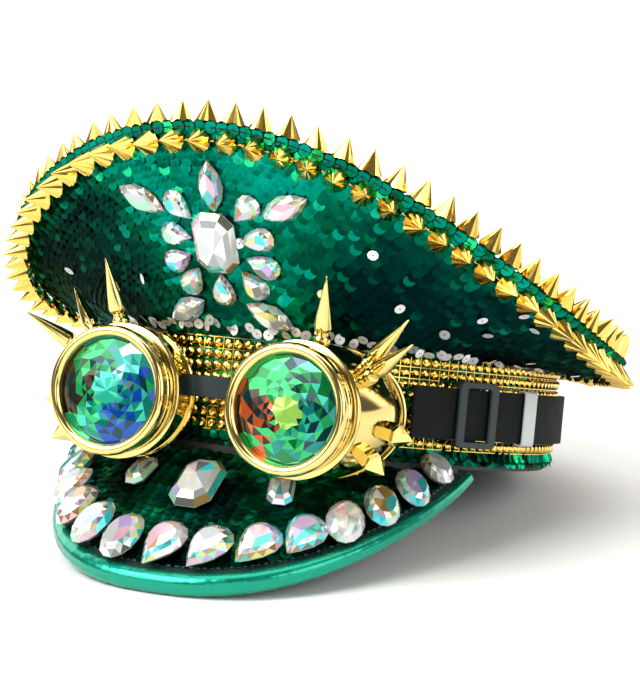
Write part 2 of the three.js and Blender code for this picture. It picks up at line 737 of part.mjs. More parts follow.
// The strap's inner face in plan: straight from the cup to the band, then round the band.
const strapOut = bandOut + STRAP.standoff;
const strapOval = (t) => onOval(HEAD.halfWidth + strapOut, HEAD.halfLength + strapOut, t, STRAP.z);
const strapStart = v3(
  GOGGLES.halfSpacing + STRAP.startOut,
  GOGGLES.frontY + CUP.templeDepth + STRAP.startBehind,
  STRAP.z,
);
const touchAngle = rad(STRAP.touchAngle);
const strapEnd = strapOval(touchAngle);
const strapRun = strapEnd.clone().sub(strapStart);
const strapWay = strapRun.clone().normalize();
const strapOutward = v3(strapWay.y, -strapWay.x, 0);

// One outline of the strap at a point of its inner face.
function strapOutline(point, outward, side) {
  const at = (out, up) => {
    const p = point.clone().addScaledVector(outward, out);
    return v3(side * p.x, p.y, p.z + up);
  };
  const half = STRAP.width / 2;
  return [at(STRAP.thick, -half), at(STRAP.thick, half), at(0, half), at(0, -half)];
}

const straightOutline = (share, side) =>
  strapOutline(strapStart.clone().addScaledVector(strapRun, share), strapOutward, side);

function makeStrap() {
  const round = steps(touchAngle, Math.PI, STRAP.spans).map((t) => {
    const tangent = strapOval(t + 1e-3).sub(strapOval(t - 1e-3)).normalize();
    return { point: strapOval(t), outward: v3(tangent.y, -tangent.x, 0) };
  });
  const half = (side) => [
    straightOutline(STRAP.jointShare, side),
    ...round.map(({ point, outward }) => strapOutline(point, outward, side)),
  ];
  const loop = [...half(1), ...half(-1).toReversed().slice(1)];
  add("strap_loop", sweep(loop, false), BLACK_ELASTIC);
  for (const [hand, side] of [["left", 1], ["right", -1]]) {
    const ends = [0, STRAP.jointShare - STRAP.jointGap].map((share) => straightOutline(share, side));
    add(hand + "_strap_front", sweep(ends, false), BLACK_ELASTIC);
  }
}

// The slide buckle: a frame outside the strap, tied by its rails to a bar behind the strap.
function makeBuckle() {
  const { length, height, window, bar, thick, room, share } = BUCKLE;
  const front = STRAP.thick + room;
  const block = (l, h, t, x, z, y) => new THREE.BoxGeometry(l, t, h).translate(x, y + t / 2, z);
  const rail = (height - STRAP.width) / 2 - room;
  const railZ = (height - rail) / 2;
  const post = (length - window) / 2;
  const postX = (length - post) / 2;
  const depth = front + thick + room + bar * 0.5;
  const pieces = [1, -1].flatMap((way) => [
    block(post, height, thick, way * postX, 0, front),
    block(length, rail, depth, 0, way * railZ, -room - bar * 0.5),
  ]);
  pieces.push(block(bar * 2, height, bar * 0.5, 0, 0, -room - bar * 0.5));
  const buckle = add("strap_buckle", join(pieces), BLACK_PLASTIC);
  buckle.quaternion.setFromRotationMatrix(
    new THREE.Matrix4().makeBasis(strapWay.clone().negate(), strapOutward, UP),
  );
  buckle.position.copy(strapStart).addScaledVector(strapRun, share);
}

// The keeper: a flat loop round the strap where it lies along the band.
function makeKeeper() {
  const { length, wall, angle, room } = KEEPER;
  const t = rad(angle);
  const tangent = strapOval(t + 1e-3).sub(strapOval(t - 1e-3)).normalize();
  const outward = v3(tangent.y, -tangent.x, 0);
  const high = STRAP.width / 2 + room;
  const [back, front] = [-room, STRAP.thick + room];
  const shape = new THREE.Shape([
    v2(back - wall, -high - wall),
    v2(front + wall, -high - wall),
    v2(front + wall, high + wall),
    v2(back - wall, high + wall),
  ]);
  shape.holes.push(new THREE.Path([v2(back, -high), v2(back, high), v2(front, high), v2(front, -high)]));
  const geometry = new THREE.ExtrudeGeometry(shape, { depth: length, bevelEnabled: false, steps: 1 });
  geometry.translate(0, 0, -length / 2);
  const keeper = add("strap_keeper", geometry, GREY_PLASTIC);
  keeper.quaternion.setFromRotationMatrix(
    new THREE.Matrix4().makeBasis(outward, UP, v3().crossVectors(outward, UP)),
  );
  keeper.position.copy(strapOval(t));
}

// ---------------------------------------------------------------- the whole cap

makeBand();
makeCrown();
makeStuds();
makePeak();
makeEmblem();
makePeakStones();
makeGoggles();
makeStrap();
makeBuckle();
makeKeeper();

// The lowest height of a named piece.
function lowest(name) {
  const box = new THREE.Box3().setFromObject(cap.getObjectByName(name), true);
  return box.min.z;
}

// Tips the cap back until the peak's padded edge and the band's back stand level.
function restOnTable() {
  let [level, steep] = [0, rad(30)];
  for (let round = 0; round < 40; round += 1) {
    cap.rotation.x = -(level + steep) / 2;
    cap.updateMatrixWorld(true);
    if (lowest("visor_binding") < lowest("headband")) level = -cap.rotation.x;
    else steep = -cap.rotation.x;
  }
  const box = new THREE.Box3().setFromObject(cap, true);
  const middle = box.getCenter(v3());
  cap.position.set(-middle.x, -middle.y, -box.min.z);
}

restOnTable();

const part = new THREE.Group();
part.add(cap);

export default part;
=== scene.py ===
import json
import math

import bmesh
import bpy
import numpy as np
from mathutils import Matrix


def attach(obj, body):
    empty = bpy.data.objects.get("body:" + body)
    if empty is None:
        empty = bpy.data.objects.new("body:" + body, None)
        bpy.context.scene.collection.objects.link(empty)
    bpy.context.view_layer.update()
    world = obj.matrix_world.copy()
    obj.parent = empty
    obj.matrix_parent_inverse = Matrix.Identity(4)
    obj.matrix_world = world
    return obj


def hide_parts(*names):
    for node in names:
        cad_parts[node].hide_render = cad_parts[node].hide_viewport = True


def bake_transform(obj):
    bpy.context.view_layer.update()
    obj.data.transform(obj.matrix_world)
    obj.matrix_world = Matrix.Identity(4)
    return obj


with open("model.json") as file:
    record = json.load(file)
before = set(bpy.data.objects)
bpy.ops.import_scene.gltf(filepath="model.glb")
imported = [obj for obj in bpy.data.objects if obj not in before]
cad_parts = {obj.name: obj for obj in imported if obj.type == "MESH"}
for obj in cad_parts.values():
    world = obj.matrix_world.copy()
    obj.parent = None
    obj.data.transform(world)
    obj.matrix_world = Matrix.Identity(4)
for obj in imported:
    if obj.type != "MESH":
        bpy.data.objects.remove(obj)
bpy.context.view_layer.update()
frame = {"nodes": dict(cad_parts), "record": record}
rng = np.random.default_rng(7)

# A sequinned captain's cap with spiked goggles. Shapes are worked out in the cap's own frame, in
# millimetres: +Z up out of the crown, the peak towards -Y, the wearer's left at +X, and z = 0 at the
# lower edge of the band. to_row() takes them to the row frame, in metres, where the cap leans back.

# ---------------------------------------------------------------- the cap's frame

BAND_BACK_Y = 102.1  # the back mount, in the cap's frame
back_mount = next(m for m in frame["record"]["mounts"] if m["name"] == "band_rim_back")
cap_up = -np.array(back_mount["axis"], float)
TURN = np.column_stack([[1, 0, 0], np.cross(cap_up, [1, 0, 0]), cap_up])
ORIGIN = np.array(back_mount["pos_m"], float) - TURN @ np.array([0, BAND_BACK_Y / 1000, 0])


def to_row(points):
    return np.asarray(points, float) @ TURN.T / 1000 + ORIGIN


# ---------------------------------------------------------------- dimensions, close to the CAD model's

BAND_TOP = 44.4
BAND = {"half_width": 90.0, "half_length": 107.0}  # outside of the finished band
HEAD = {"half_width": 83.0, "half_length": 100.0}
RIM = {"half_width": 125.5, "wider": 0.07, "centre_y": -26.0, "forward": 125.0, "backward": 146.0}
RIM_HEIGHT = {"low": 45.0, "front": 120.5, "steepness": 3.4, "back_rise": 6.0}
SAG = 0.12
RIDGE = 24.0
STUDS = {"count": 76, "radius": 4.9, "height": 9.8, "lower_inset": 5.4, "upper_inset": 3.6}
STUD_STANCE = {"most_lean": 33.0, "lower_climb": -8.0, "upper_climb": 52.0, "lift": 0.95, "clear": 0.35}
PEAK = {"half_width": 81.8, "root_y": -48.3, "reach": 104.7, "drop": 48.9, "arch": 1.6, "band_share": 61 / 90}
PEAK_POWERS = {"width": 0.82, "reach": 1.15, "drop": 1.1}
PEAK_TOP = 2.4  # of the sequinned cover over the peak's middle surface
PEAK_ROOT = {"outset": 5.9, "z": -3.4}
EYES = {"spacing": 38.0, "front_y": -136.2, "z": 18.65}
CUP = {"flange_to": 12.5, "nose_depth": 25.5, "temple_depth": 48.5, "saddle": 6.0, "waist": 23.8}
CUP |= {"lip": 1.6, "wall": 1.6}
STRAP = {"half_width": 91.7, "half_length": 108.7, "z": 22.0, "width": 20.0, "thick": 1.5}
STRAP_START = np.array([68.6, -86.5, STRAP["z"]])
STRAP_TOUCH = math.radians(66)
EMBLEM_Z = 79.6
BORDER = {
    "stones": 15, "width": 16.2, "length": 22.5, "height": 5.5, "inset": 12.0, "end_inset": 7.5,
    "end_angle": 75.0, "smallest": 0.55, "lift": 2.6, "drops": range(4, 8), "slant": -24.0,
}
SEQUIN = {"radius": 2.85, "pitch": 4.7, "row": 2.8}


# ---------------------------------------------------------------- surfaces

def unit(v):
    return v / np.maximum(np.linalg.norm(v, axis=-1, keepdims=True), 1e-12)


def point(x, y, z):
    return np.stack(np.broadcast_arrays(np.asarray(x, float), y, z), -1)


def oval(half_width, half_length, t, z):
    return point(half_width * np.sin(t), -half_length * np.cos(t), z)


def head_oval(t, z, outset=0.0):
    """The inside of the band's oval, moved out by this much."""
    return oval(HEAD["half_width"] + outset, HEAD["half_length"] + outset, t, z)


def forwardness(t):
    return (1 + np.cos(t)) / 2


def rim(t):
    f = forwardness(t)
    reach = np.where(np.cos(t) > 0, RIM["forward"], RIM["backward"])
    rise = (RIM_HEIGHT["front"] - RIM_HEIGHT["low"]) * f ** RIM_HEIGHT["steepness"]
    z = RIM_HEIGHT["low"] + rise + RIM_HEIGHT["back_rise"] * (1 - f) ** 4
    x = RIM["half_width"] * np.sin(t) * (1 + RIM["wider"] * np.cos(t))
    return point(x, RIM["centre_y"] - reach * np.cos(t), z)


def side_length(t):
    foot = oval(BAND["half_width"], BAND["half_length"], t, BAND_TOP)
    return np.linalg.norm(rim(t) - foot, axis=-1)


def crown_side(t, v):
    foot = oval(BAND["half_width"], BAND["half_length"], t, BAND_TOP)
    v = np.asarray(v, float)
    sag = SAG * side_length(t) * np.sin(np.pi * v) * (1 - forwardness(t) ** 2)
    straight = foot + (rim(t) - foot) * v[..., None]
    return straight - point(0, 0, sag)


def crown_top(t, s):
    edge = rim(t)
    s = np.asarray(s, float)
    y = RIM["centre_y"] + (edge[..., 1] - RIM["centre_y"]) * s
    ahead = RIM["centre_y"] - y
    side_cos = np.clip(ahead / np.where(ahead > 0, RIM["forward"], RIM["backward"]), -1, 1)
    side = rim(np.arccos(side_cos))
    across = np.minimum(np.abs(edge[..., 0] * s) / np.maximum(side[..., 0], 1e-6), 1)
    ridge = RIDGE * (1 - side_cos**2)
    return point(edge[..., 0] * s, y, side[..., 2] + ridge * (1 - across**2))


def top_length(t):
    return np.linalg.norm(rim(-t) - crown_top(-t, np.zeros_like(t)), axis=-1)


def slack_side(t, v):
    """The side panel with the soft folds that cloth makes where it hangs between band and wire."""
    slack = (1 - forwardness(t) ** 2) * np.sin(np.pi * np.clip(v, 0, 1)) ** 2
    fold = np.sin(9 * t + 1.3 + 3 * v) + 0.6 * np.sin(17 * t - 5 * v)
    return crown_side(t, v) + 0.9 * (slack * fold)[..., None] * unit(point(np.sin(t), -np.cos(t), -0.4))


def peak_edge(t):
    ahead = np.maximum(np.cos(t), 0)
    x = -PEAK["half_width"] * np.sign(t) * np.abs(np.sin(t)) ** PEAK_POWERS["width"]
    y = PEAK["root_y"] - PEAK["reach"] * ahead ** PEAK_POWERS["reach"]
    return point(x, y, -PEAK["drop"] * ahead ** PEAK_POWERS["drop"])


def peak_middle(t, v):
    root = head_oval(-t * PEAK["band_share"], PEAK_ROOT["z"], PEAK_ROOT["outset"])
    v = np.asarray(v, float)
    arch = point(0, 0, PEAK["arch"] * np.sin(np.pi * v) * np.cos(t))
    return root + (peak_edge(t) - root) * v[..., None] + arch


def normal_of(surface, t, v):
    step = 1e-3
    along_t = surface(t + step, v) - surface(t - step, v)
    along_v = surface(t, v + step) - surface(t, v - step)
    return unit(np.cross(along_t, along_v))


def raised(surface, height):
    return lambda t, v: surface(t, v) + height * normal_of(surface, t, v)


peak_top = raised(peak_middle, PEAK_TOP)


def top_facing_up(t, s):
    """The crown's top with its angle reversed, so that its normals point up."""
    return crown_top(-t, s)


def roll_radius(t):
    return 2.4 + 2.1 * np.cos(t)


# ---------------------------------------------------------------- meshes

class Shape:
    """Points and faces in the cap's frame, each face with a tint, a material and its shading."""

    def __init__(self):
        self.points, self.faces, self.tints, self.slots, self.smooth = [], [], [], [], []
        self.size = 0

    def add(self, points, faces, tint=0.5, slot=0, smooth=False):
        points = np.asarray(points, float).reshape(-1, 3)
        faces = [[int(i) + self.size for i in face] for face in faces]
        self.points.append(points)
        self.faces += faces
        self.tints += list(np.broadcast_to(tint, len(faces)))
        self.slots += [slot] * len(faces)
        self.smooth += [smooth] * len(faces)
        self.size += len(points)
        return self


def put(name, data):
    """A new object in the scene."""
    obj = bpy.data.objects.new(name, data)
    bpy.context.scene.collection.objects.link(obj)
    return obj


def build(name, shape, materials, body, replaces=(), crease=None):
    mesh = bpy.data.meshes.new(name)
    mesh.from_pydata(to_row(np.concatenate(shape.points)).tolist(), [], shape.faces)
    mesh.polygons.foreach_set("material_index", shape.slots)
    mesh.polygons.foreach_set("use_smooth", shape.smooth)
    mesh.attributes.new("tint", "FLOAT", "FACE").data.foreach_set("value", np.float32(shape.tints))
    if crease is not None:
        sharpen(mesh, math.radians(crease))
    for material in materials:
        mesh.materials.append(material)
    obj = put(name, mesh)
    if body:
        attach(obj, body)
    if replaces:
        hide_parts(*replaces)
    return obj


def sharpen(mesh, angle):
    """Faces out, and sharp edges where the surface turns by more than the angle."""
    bm = bmesh.new()
    bm.from_mesh(mesh)
    bmesh.ops.recalc_face_normals(bm, faces=bm.faces)
    for edge in bm.edges:
        edge.smooth = len(edge.link_faces) == 2 and edge.calc_face_angle(0) < angle
    bm.to_mesh(mesh)
    bm.free()


def grid_faces(rows, columns, closed_rows, closed_columns):
    row = np.arange(rows if closed_rows else rows - 1)
    column = np.arange(columns if closed_columns else columns - 1)
    i, j = (a.ravel() for a in np.meshgrid(row, column, indexing="ij"))
    i2, j2 = (i + 1) % rows, (j + 1) % columns
    return np.stack([i * columns + j, i2 * columns + j, i2 * columns + j2, i * columns + j2], -1)


def loft(shape, outlines, closed, **look):
    """A solid through closed outlines, with flat ends where the row of outlines is open."""
    outlines = np.asarray(outlines, float)
    count, sides = outlines.shape[:2]
    faces = grid_faces(count, sides, closed, True).tolist()
    if not closed:
        faces.append(list(range(sides)))
        faces.append(list(range((count - 1) * sides, count * sides))[::-1])
    return shape.add(outlines, faces, **look)


def cloth_shell(shape, surface, t, v, thick, closed=True, **look):
    """A sheet of cloth of this thickness under a surface."""
    tt, vv = np.meshgrid(t, v, indexing="ij")
    outer = surface(tt, vv)
    inner = outer - thick * normal_of(surface, tt, vv)
    return loft(shape, np.concatenate([outer, inner[:, ::-1]], axis=1), closed, **look)


def full_turn(count):
    return np.arange(count) * 2 * np.pi / count


def travelled(points):
    """How far along a row of points each one lies."""
    return np.concatenate([[0], np.cumsum(np.linalg.norm(np.diff(points, axis=0), axis=1))])


def even_angles(curve, count, start=0.0, end=2 * np.pi):
    """Angles that divide a curve into equal lengths."""
    fine = np.linspace(start, end, 721)
    length = travelled(curve(fine))
    return np.interp(np.arange(count) * length[-1] / count, length, fine)


def facing(normal, up):
    """Columns that take +Z to the normal and +Y as near as can be to up."""
    x = unit(np.cross(up, normal))
    return np.column_stack([x, np.cross(normal, x), normal])


def lathe(shape, profile, matrix, place, sides, **look):
    """A turned solid along +Z from a profile of (radius, height) that starts and ends on the axis."""
    angles = full_turn(sides)
    rings = [point(r * np.cos(angles), r * np.sin(angles), h) for r, h in profile[1:-1]]
    count = len(rings)
    points = np.concatenate([*rings, [[0, 0, profile[0][1]]], [[0, 0, profile[-1][1]]]])
    faces = grid_faces(count, sides, False, True).tolist()
    low, high = count * sides, count * sides + 1
    for j in range(sides):
        k = (j + 1) % sides
        faces.append([low, k, j])
        faces.append([high, (count - 1) * sides + j, (count - 1) * sides + k])
    return shape.add(points @ matrix.T + place, faces, **look)


def cut_rectangle(x, y, cut):
    """The corners of a rectangle of half sizes x and y, each cut off."""
    front = [(x, y - cut), (x - cut, y), (cut - x, y), (-x, y - cut)]
    return front + [(-cx, -cy) for cx, cy in front]


def round_box(shape, size, centre, matrix, place, bevel, **look):
    """A box with bevelled edges: size and centre are along the matrix's columns."""
    half = np.array(size) / 2
    corners = []
    for z, inset in ((-half[2], bevel), (bevel - half[2], 0), (half[2] - bevel, 0), (half[2], bevel)):
        x, y = half[0] - inset, half[1] - inset
        corners.append([(cx, cy, z) for cx, cy in cut_rectangle(x, y, bevel)])
    outlines = (np.array(corners) + np.array(centre)) @ matrix.T + place
    return loft(shape, outlines, False, **look)


# ---------------------------------------------------------------- materials

def shader(name, colour, roughness, metallic=0.0, **inputs):
    material = bpy.data.materials.new(name)
    material.use_nodes = True
    bsdf = material.node_tree.nodes["Principled BSDF"]
    bsdf.inputs["Base Color"].default_value = (*colour, 1)
    bsdf.inputs["Roughness"].default_value = roughness
    bsdf.inputs["Metallic"].default_value = metallic
    for key, value in inputs.items():
        bsdf.inputs[key.replace("_", " ")].default_value = value
    return material


def node(material, kind, **settings):
    made = material.node_tree.nodes.new(kind)
    for key, value in settings.items():
        if hasattr(made, key):
            setattr(made, key, value)
        else:
            made.inputs[key].default_value = value
    return made


def wire(material, source, target):
    material.node_tree.links.new(source, target)


def bsdf_of(material):
    return material.node_tree.nodes["Principled BSDF"]


def object_texture(material, kind, **settings):
    """A texture that is laid out in the object's own coordinates."""
    where = node(material, "ShaderNodeTexCoord")
    texture = node(material, kind, **settings)
    wire(material, where.outputs["Object"], texture.inputs["Vector"])
    return texture


def object_noise(material, scale, detail=3.0):
    return object_texture(material, "ShaderNodeTexNoise", Scale=scale, Detail=detail).outputs["Fac"]


def add_bump(material, height, distance, strength=1.0):
    bump = node(material, "ShaderNodeBump", Strength=strength, Distance=distance)
    wire(material, height, bump.inputs["Height"])
    wire(material, bump.outputs["Normal"], bsdf_of(material).inputs["Normal"])


def vary_roughness(material, source, low, high):
    span = node(material, "ShaderNodeMapRange", **{"To Min": low, "To Max": high})
    wire(material, source, span.inputs["Value"])
    wire(material, span.outputs["Result"], bsdf_of(material).inputs["Roughness"])


def ramp(material, source, stops, mode="LINEAR"):
    made = node(material, "ShaderNodeValToRGB")
    made.color_ramp.interpolation = mode
    elements = made.color_ramp.elements
    while len(elements) < len(stops):
        elements.new(1.0)
    for element, (position, colour) in zip(elements, stops):
        element.position = position
        element.color = (*colour, 1)
    wire(material, source, made.inputs["Fac"])
    wire(material, made.outputs["Color"], bsdf_of(material).inputs["Base Color"])


def tint_of(material):
    return node(material, "ShaderNodeAttribute", attribute_name="tint").outputs["Fac"]


def gold_material(name, colour, roughness):
    made = shader(name, colour, roughness, 1.0)
    cloudy = object_noise(made, 260)
    vary_roughness(made, cloudy, roughness * 0.6, roughness * 1.5)
    add_bump(made, object_noise(made, 900, 2), 0.00002, 0.5)
    return made


def tinted_material(name, stops, roughness, metallic, mode="LINEAR", **inputs):
    made = shader(name, (1, 1, 1), roughness, metallic, **inputs)
    ramp(made, tint_of(made), stops, mode)
    return made


def cloth_material(name, colour, scale, roughness=0.8, bump=0.0003, **inputs):
    made = shader(name, colour, roughness, **inputs)
    bands = {"bands_direction": "DIAGONAL", "Scale": scale, "Distortion": 1.5}
    weave = object_texture(made, "ShaderNodeTexWave", **bands)
    add_bump(made, weave.outputs["Fac"], bump, 0.6)
    vary_roughness(made, object_noise(made, 120), roughness * 0.85, min(1.0, roughness * 1.1))
    return made


def even_stops(colours):
    return [(i / len(colours), colour) for i, colour in enumerate(colours)]


# Sequin colours by tint: the dark end also serves the painted shade and the painted shadow rims, and the
# bright top the painted glints.
SEQUIN_STOPS = [
    (0.0, (0.0, 0.008, 0.009)),
    (0.2, (0.0, 0.030, 0.022)),
    (0.45, (0.0, 0.085, 0.038)),
    (0.65, (0.0, 0.19, 0.12)),
    (0.85, (0.0, 0.27, 0.20)),
    (1.0, (0.02, 0.62, 0.24)),
]
STONE_COLOURS = [
    (0.46, 0.48, 0.48), (0.30, 0.32, 0.32), (0.62, 0.50, 0.60), (0.03, 0.58, 0.64), (0.60, 0.63, 0.60),
    (0.30, 0.60, 0.42), (0.14, 0.14, 0.12), (0.72, 0.74, 0.74), (0.62, 0.56, 0.16), (0.40, 0.44, 0.43),
    (0.42, 0.32, 0.60), (0.66, 0.36, 0.44), (0.52, 0.56, 0.55), (0.32, 0.20, 0.06), (0.68, 0.72, 0.68),
    (0.05, 0.42, 0.40),
]
LENS_COLOURS = [
    (0.030, 0.016, 0.006), (0.0, 0.035, 0.045), (0.0, 0.20, 0.17), (0.0, 0.17, 0.04), (0.01, 0.40, 0.10),
    (0.34, 0.66, 0.10), (0.0, 0.06, 0.36), (0.34, 0.50, 0.50), (0.50, 0.09, 0.015), (0.03, 0.50, 0.34),
]
BROWN, INK, TEAL, EMERALD, GREEN, LIME, BLUE, MIST, ORANGE, AQUA = range(10)

sequin_mat = tinted_material("sequin_green", SEQUIN_STOPS, 0.28, 0.92, Specular_Tint=(0.02, 0.45, 0.34, 1))
SILVER_STOPS = [(0.0, (0.30, 0.33, 0.33)), (0.5, (0.85, 0.87, 0.87)), (1.0, (0.95, 0.96, 0.96))]
silver_mat = tinted_material("sequin_silver", SILVER_STOPS, 0.2, 0.35)
backing_mat = cloth_material("backing_cloth", (0.0, 0.010, 0.008), 900, 0.75)
gold_mat = gold_material("polished_gold", (0.76, 0.60, 0.22), 0.09)
stud_mat = gold_material("stud_gold", (0.86, 0.58, 0.13), 0.12)
stone_mat = tinted_material(
    "rainbow_crystal", even_stops(STONE_COLOURS), 0.08, 0.4, "CONSTANT",
    Coat_Weight=0.8, Coat_Roughness=0.02,
)
lens_mat = tinted_material(
    "kaleidoscope_glass", even_stops(LENS_COLOURS), 0.1, 0.5, "CONSTANT",
    Coat_Weight=0.35, Coat_Roughness=0.02,
)
satin_mat = cloth_material("black_satin", (0.010, 0.014, 0.013), 1400, 0.4, 0.0001, Sheen_Weight=0.2)
buckram_mat = cloth_material("buckram", (0.06, 0.075, 0.07), 700, 0.9)
elastic_mat = cloth_material(
    "ribbed_elastic", (0.007, 0.008, 0.009), 1100, 0.75, 0.0002, Specular_IOR_Level=0.15
)
slate_mat = shader("slate_plastic", (0.006, 0.018, 0.020), 0.28, Specular_IOR_Level=0.4)
add_bump(slate_mat, object_noise(slate_mat, 1500), 0.00004)
keeper_mat = shader("keeper_plastic", (0.50, 0.56, 0.53), 0.42)
add_bump(keeper_mat, object_noise(keeper_mat, 1200), 0.00004)
thread_mat = cloth_material("green_thread", (0.0, 0.20, 0.14), 2500, 0.5)
steel_mat = shader("spring_steel", (0.5, 0.5, 0.51), 0.3, 1.0)
add_bump(steel_mat, object_noise(steel_mat, 900), 0.00003)


def foil_leather():
    made = shader("green_foil_leather", (0.0, 0.30, 0.19), 0.26, 0.8, Coat_Weight=0.3, Coat_Roughness=0.12)
    grain = object_texture(made, "ShaderNodeTexVoronoi", Scale=1100.0)
    add_bump(made, grain.outputs["Distance"], 0.00008, 0.35)
    vary_roughness(made, object_noise(made, 90), 0.18, 0.36)
    return made


foil_mat = foil_leather()


# ---------------------------------------------------------------- sequins

DISC = full_turn(9)


def disc_outline(across, down):
    """Circles of radius 1, given two unit vectors in the plane of each."""
    return np.cos(DISC)[None, :, None] * across[:, None] + np.sin(DISC)[None, :, None] * down[:, None]


def holed_discs(shape, centre, across, down, radius, hole, tint):
    """Flat discs with a hole in the middle."""
    sides = len(DISC)
    ring = disc_outline(across, down)
    points = np.concatenate([centre[:, None] + hole * ring, centre[:, None] + radius * ring], axis=1)
    starts = np.arange(len(centre)) * 2 * sides
    faces = (starts[:, None, None] + grid_faces(2, sides, False, True)[None]).reshape(-1, 4)
    shape.add(points, faces, tint=np.repeat(tint, sides))


# A sequin's dark rim is a painted shadow along its edge.
RIM_SHARE = 0.87  # where a sequin's dark rim starts, or its edge where it has none, as a share


def sequin_discs(shape, centre, across, down, radius, tint):
    """Cupped discs: across and down are unit vectors in each disc's plane.

    The rim faces are a painted shadow in the darkest tint. They count from the shape's first point, so only a
    shape's first row has dark rims. The discs of its later rows end at RIM_SHARE, and their rim faces repeat
    those of the first row.
    """
    normal = np.cross(across, down)
    ring = disc_outline(across, down)
    cup = centre - 0.12 * radius * normal
    inner, outer = (centre[:, None] + k * radius * ring for k in (RIM_SHARE, 1.0))
    points = np.concatenate([cup[:, None], inner, outer], axis=1)
    sides = len(DISC)
    turn = np.arange(sides)
    after = (turn + 1) % sides
    fan = np.stack([0 * turn, 1 + turn, 1 + after], -1)
    shadow_rim_faces = np.stack([1 + turn, 1 + sides + turn, 1 + sides + after, 1 + after], -1)
    starts = (np.arange(len(centre)) * (2 * sides + 1))[:, None, None]
    shape.add(points, (starts + fan).reshape(-1, 3), tint=np.repeat(tint, sides))
    # Each rim gets the darkest tint, a painted shadow along the sequin's edge.
    shape.add([], (starts + shadow_rim_faces - shape.size).reshape(-1, 4), tint=0.0)


def places_on(surface, t, v):
    """Points on a surface, the way out at each, and the way towards v = 0."""
    place = surface(t, v)
    return place, normal_of(surface, t, v), unit(surface(t, v - 1e-3) - place)


def sew_row(shape, surface, t, v, lift, tilt, tint_at, loose=0.07):
    """One row of overlapping sequins along the points (t, v), which run along a surface."""
    centre, normal, down = places_on(surface, t, v)
    across = unit(np.cross(down, normal))
    count = len(t)
    slope = tilt + loose * rng.standard_normal(count)
    roll = loose * rng.standard_normal(count)
    down = unit(down * np.cos(slope)[:, None] + normal * np.sin(slope)[:, None])
    across = unit(across + roll[:, None] * normal)
    across = unit(across - (across * down).sum(-1, keepdims=True) * down)
    tint = np.clip(tint_at(t, v, centre) + 0.07 * rng.standard_normal(count), 0, 1)
    sequin_discs(shape, centre + lift * normal, across, down, SEQUIN["radius"], tint)


def sew_rows(shape, surface, length_at, depths, ends, tint_at, lift=0.9, tilt=0.24):
    """Rows at these distances in from the edge v = 1, wherever the panel is that deep."""
    fine = np.linspace(*ends, 1440)
    for k, depth in enumerate(depths):
        v = np.maximum(1 - depth / length_at(fine), 0.01)
        along = travelled(surface(fine, v))
        stops = np.arange(0.5 * (k % 2), along[-1] / SEQUIN["pitch"], 1) * SEQUIN["pitch"]
        t = np.interp(stops, along, fine) + 0.002 * rng.standard_normal(len(stops))
        v = 1 - depth / length_at(t)
        deep_enough = v > 0.02
        if deep_enough.any():
            sew_row(shape, surface, t[deep_enough], v[deep_enough], lift, tilt, tint_at)


def patches(points, scale):
    """Soft patches between -1 and 1 over the cloth, from a few slow waves."""
    x, y, z = (points / scale).T
    return np.sin(x + 1.7 * z) * np.cos(1.3 * y - 0.7 * x) + 0.4 * np.sin(2.3 * z + 1.9 * x)


def painted_glints(count, share):
    """Painted glints: a few sequins given a brighter tint, as if turned to catch the light."""
    return np.where(rng.random(count) < share, 0.35, 0.0)


def side_tint(t, v, centre):
    """Teal near the rim and emerald in front; painted shade makes it nearly black low down at the sides and
    darker towards the foot, and painted glints brighten a few sequins.
    """
    turned = np.abs(np.degrees(np.arctan2(np.sin(t), np.cos(t))))
    # Painted shade: nearly black low down at the sides, and darker towards the foot all round.
    painted_shade = np.clip((turned - 14) / 18, 0, 1) * np.clip((0.95 - v) / 0.18, 0, 1)
    lower = np.clip((0.6 - v) / 0.4, 0, 1)
    return 0.68 + 0.10 * patches(centre, 21) - 0.60 * painted_shade - 0.24 * lower + painted_glints(len(t), 0.07)


def top_tint(t, s, centre):
    # The painted glints brighten a few sequins.
    return 0.62 + 0.16 * patches(centre, 24) + painted_glints(len(t), 0.05)


def peak_tint(t, v, centre):
    # The painted glints brighten a few sequins.
    return 0.36 + 0.30 * patches(centre, 13) + painted_glints(len(t), 0.08)


def make_crown():
    side = Shape()
    cloth_shell(side, slack_side, full_turn(180), np.linspace(0, 1, 12), 1.1, smooth=True)
    cloth = build("crown_side_cloth", side, [backing_mat], "cap", ["crown_side"])

    top = Shape()
    rings = np.linspace(0.003, 1, 14)
    cloth_shell(top, top_facing_up, full_turn(144), rings, 1.1, smooth=True)
    cloth = build("crown_top_cloth", top, [backing_mat], "cap", ["crown_top"])

    ends = (0, 2 * np.pi)
    scales = Shape()
    sew_rows(scales, slack_side, side_length, np.arange(0.3, 90, SEQUIN["row"]), ends, side_tint)
    build("crown_side_sequins", scales, [sequin_mat], "cap")

    scales = Shape()
    sew_rows(scales, top_facing_up, top_length, np.arange(0.3, 150, SEQUIN["row"]), ends, top_tint)
    build("crown_top_sequins", scales, [sequin_mat], "cap")
    make_loose_sequins()


# Silver sequins away from the foot: angle from the front in degrees, and share of the way up.
SCATTERED = [(5, 0.47), (22, 0.3), (31, 0.62), (38, 0.36), (49, 0.28), (55, 0.55), (58, 0.44), (62, 0.78)]
SCATTERED += [(66, 0.72), (74, 0.3), (-22, 0.3), (-47, 0.55), (96, 0.4), (120, 0.6), (-110, 0.5)]


LOOSE = {"along_foot": 150, "radius": 2.2, "hole": 0.35, "lift": 2.1}


